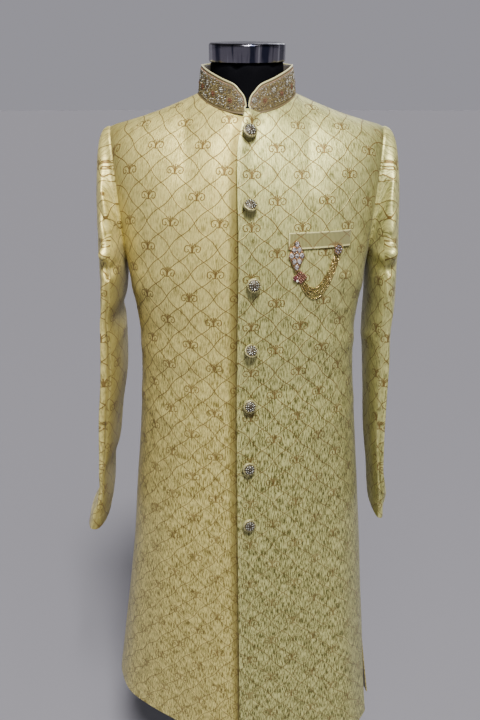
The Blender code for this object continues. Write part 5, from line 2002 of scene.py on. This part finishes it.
# %% Dress form
NECK_CENTRE_Y = -0.008
NECK_TOP_Z = 1.5195
NECK_TILT = math.radians(5)
CAP_RADIUS = 0.0595
CAP_HEIGHT = 0.027
CAP_EDGE = 0.004
POLE_RADIUS = 0.0125
BASE_RADIUS = 0.165
BASE_HUB_TOP = 0.045
FORM_BOTTOM_Z = 0.760


def form_cloth():
    finish, tree, shader = new_finish("form_jersey", (0.002, 0.002, 0.003), 0.85,
                                      Specular_IOR_Level=0.03)
    knit = stretched_noise(tree, object_place(tree), (900.0, 900.0, 500.0), 1.0)
    colour = mix_colour(tree, knit, (0.001, 0.001, 0.002, 1.0), (0.004, 0.004, 0.005, 1.0))
    paint(tree, shader, colour)
    add_bump(tree, shader, knit, 0.2, 0.0003)
    return finish


def polished(name, colour, rough):
    finish, tree, shader = new_finish(name, colour, rough, 1.0)
    marks = stretched_noise(tree, object_place(tree), (30.0, 30.0, 600.0))
    rough_map = calc(tree, "MULTIPLY_ADD", marks, 0.10, rough - 0.04)
    tree.links.new(rough_map, shader.inputs["Roughness"])
    return finish


def painted_reflections(name):
    """Polished metal with painted reflections: soft upright streaks of a room, painted into its
    colour.
    """
    finish, tree, shader = new_finish(name, (0.20, 0.21, 0.27), 0.16, 1.0)
    place = vector_calc(tree, "MULTIPLY", object_place(tree), (1.0, 1.0, 0.0))
    # Painted reflection: upright dark and pale streaks in the metal's colour.
    bands = noise(tree, place, 75.0, 3.0, 0.6)
    dark = mix_colour(tree, soft_step(tree, bands, 0.40, 0.52), (0.035, 0.038, 0.065, 1.0),
                      (0.20, 0.19, 0.23, 1.0))
    pale = mix_colour(tree, soft_step(tree, bands, 0.56, 0.66), dark, (0.50, 0.50, 0.54, 1.0))
    paint(tree, shader, pale)
    return finish


CHROME = painted_reflections("chrome")
BASE_METAL = polished("base_enamel", (0.05, 0.05, 0.055), 0.35)


def smooth_copy(node, name, finish):
    """Merged and once smoothed copy of a rigid node's mesh."""
    source = bpy.data.objects[node]
    work = bmesh.new()
    work.from_mesh(source.data)
    bmesh.ops.remove_doubles(work, verts=work.verts, dist=0.00002)
    mesh = bpy.data.meshes.new(name)
    work.to_mesh(mesh)
    work.free()
    mesh.transform(source.matrix_world)
    item = add_object(name, mesh)
    rounder = item.modifiers.new("rounder", "SUBSURF")
    rounder.levels = 1
    done = item.evaluated_get(bpy.context.evaluated_depsgraph_get())
    rounded = bpy.data.meshes.new_from_object(done)
    item.modifiers.clear()
    item.data = rounded
    rounded.materials.clear()
    rounded.materials.append(finish)
    rounded.shade_smooth()
    rounded.set_sharp_from_angle(angle=math.radians(50))
    return item


belongs(smooth_copy("form_torso", "form_torso_cover", form_cloth()), "form", "form_torso")

lean = Vector((0, -math.sin(NECK_TILT), math.cos(NECK_TILT)))
cap_seat = Matrix((Vector((1, 0, 0)), lean.cross(Vector((1, 0, 0))), lean)).transposed().to_4x4()
cap_seat.translation = Vector((0, NECK_CENTRE_Y, NECK_TOP_Z)) + lean * SEAM_GAP
CAP_ARC = 8
cap = [(CAP_RADIUS - 0.001, 0.0), (CAP_RADIUS, 0.001), (CAP_RADIUS, CAP_HEIGHT - CAP_EDGE)]
for i in range(1, CAP_ARC + 1):
    angle = math.radians(90 * i / CAP_ARC)
    cap.append((CAP_RADIUS - CAP_EDGE * (1 - math.cos(angle)),
                CAP_HEIGHT - CAP_EDGE * (1 - math.sin(angle))))
cap += [(CAP_RADIUS * 0.3, CAP_HEIGHT + 0.0014), (0.001, CAP_HEIGHT + 0.0015)]
points, faces = turned_points(cap, cap_seat, 96)
belongs(make_mesh("form_cap_metal", points, faces, (CHROME,), sharp=50), "chrome", "form_cap")
pole = ((POLE_RADIUS, BASE_HUB_TOP + SEAM_GAP), (POLE_RADIUS, FORM_BOTTOM_Z - SEAM_GAP))
points, faces = turned_points(pole, Matrix.Identity(4), 64)
belongs(make_mesh("form_pole_metal", points, faces, (CHROME,), sharp=50), "chrome", "form_pole")
base = ((BASE_RADIUS, 0.0), (BASE_RADIUS, 0.005), (BASE_RADIUS - 0.001, 0.0075),
        (BASE_RADIUS - 0.004, 0.009), (0.090, 0.014), (0.045, 0.0165), (0.030, 0.018),
        (0.024, 0.0205), (0.021, 0.024), (0.0195, 0.032), (0.019, BASE_HUB_TOP))
points, faces = turned_points(base, Matrix.Identity(4), 96)
belongs(make_mesh("form_base_metal", points, faces, (BASE_METAL,), sharp=40), "base", "form_base")

# %% [markdown]
# Only what shows is counted, so seam allowances are left to the report.


# %% [markdown]
# The coat stands on a plain pale floor under soft studio light. The main light comes from the
# front and above, a little from the right. A weaker one comes from behind, a lamp above the front
# brightens the chest and the shoulders, and the room adds the rest.

# %% Floor, light and background
BACKGROUND = (0.325, 0.318, 0.355)
OVERHEAD = (0.100, 0.098, 0.105)
FLOOR_COLOUR = (0.238, 0.233, 0.262)
FLOOR_RADIUS = 60.0
FLOOR_TOP = -0.0005
FLOOR_UNDER = -0.010
STUDIO_SHED = 0.35

floor_finish, _, _ = new_finish("floor_paper", FLOOR_COLOUR, 0.95, Specular_IOR_Level=0.0)
disc = ((FLOOR_RADIUS, FLOOR_UNDER), (FLOOR_RADIUS, FLOOR_TOP))
points, faces = turned_points(disc, Matrix.Identity(4), 128)
floor = make_mesh("floor", points, faces, (floor_finish,), sharp=40)

world = bpy.data.worlds.new("studio")
bpy.context.scene.world = world
world.use_nodes = True
room = world.node_tree.nodes["Background"]
sky = world.node_tree
direction = split(sky, sky.nodes.new("ShaderNodeTexCoord").outputs["Generated"])
height = soft_step(sky, direction[2], 0.14, 0.45)
sky.links.new(mix_colour(sky, height, (*BACKGROUND, 1.0), (*OVERHEAD, 1.0)), room.inputs["Color"])
# The backdrop is plain from everywhere, but the studio behind the camera sheds little light
seen = sky.nodes.new("ShaderNodeLightPath").outputs["Is Camera Ray"]
shed = soft_step(sky, direction[1], -0.1, 0.7, STUDIO_SHED, 1.0)
sky.links.new(calc(sky, "MAXIMUM", seen, shed), room.inputs["Strength"])

# The softness is an angle in degrees for a sun, and the lamp's width in metres for the top lamp
Light = namedtuple("Light", "name travel strength soft colour")
SUNS = (
    Light("key", (-0.12, 0.58, -0.80), 5.0, 12, (1.0, 0.985, 0.955)),
    Light("back", (-0.35, -0.75, -0.55), 0.8, 40, (0.96, 0.98, 1.0)),
)
TOP_LAMP = Light("top", (-0.10, 0.85, -0.94), 17.0, 0.6, (1.0, 0.99, 0.96))
TOP_LAMP_AT = (0.12, -0.95, 2.30)


def add_lamp(row, kind, place):
    lamp = bpy.data.lights.new(row.name, kind)
    lamp.energy = row.strength
    lamp.color = row.colour
    item = add_object(row.name, lamp)
    item.location = place
    item.rotation_euler = Vector(row.travel).to_track_quat("-Z", "Y").to_euler()
    print("light:", row.name, "strength", row.strength)
    return lamp


for row in SUNS:
    add_lamp(row, "SUN", -Vector(row.travel) * 4).angle = math.radians(row.soft)
add_lamp(TOP_LAMP, "AREA", TOP_LAMP_AT).size = TOP_LAMP.soft
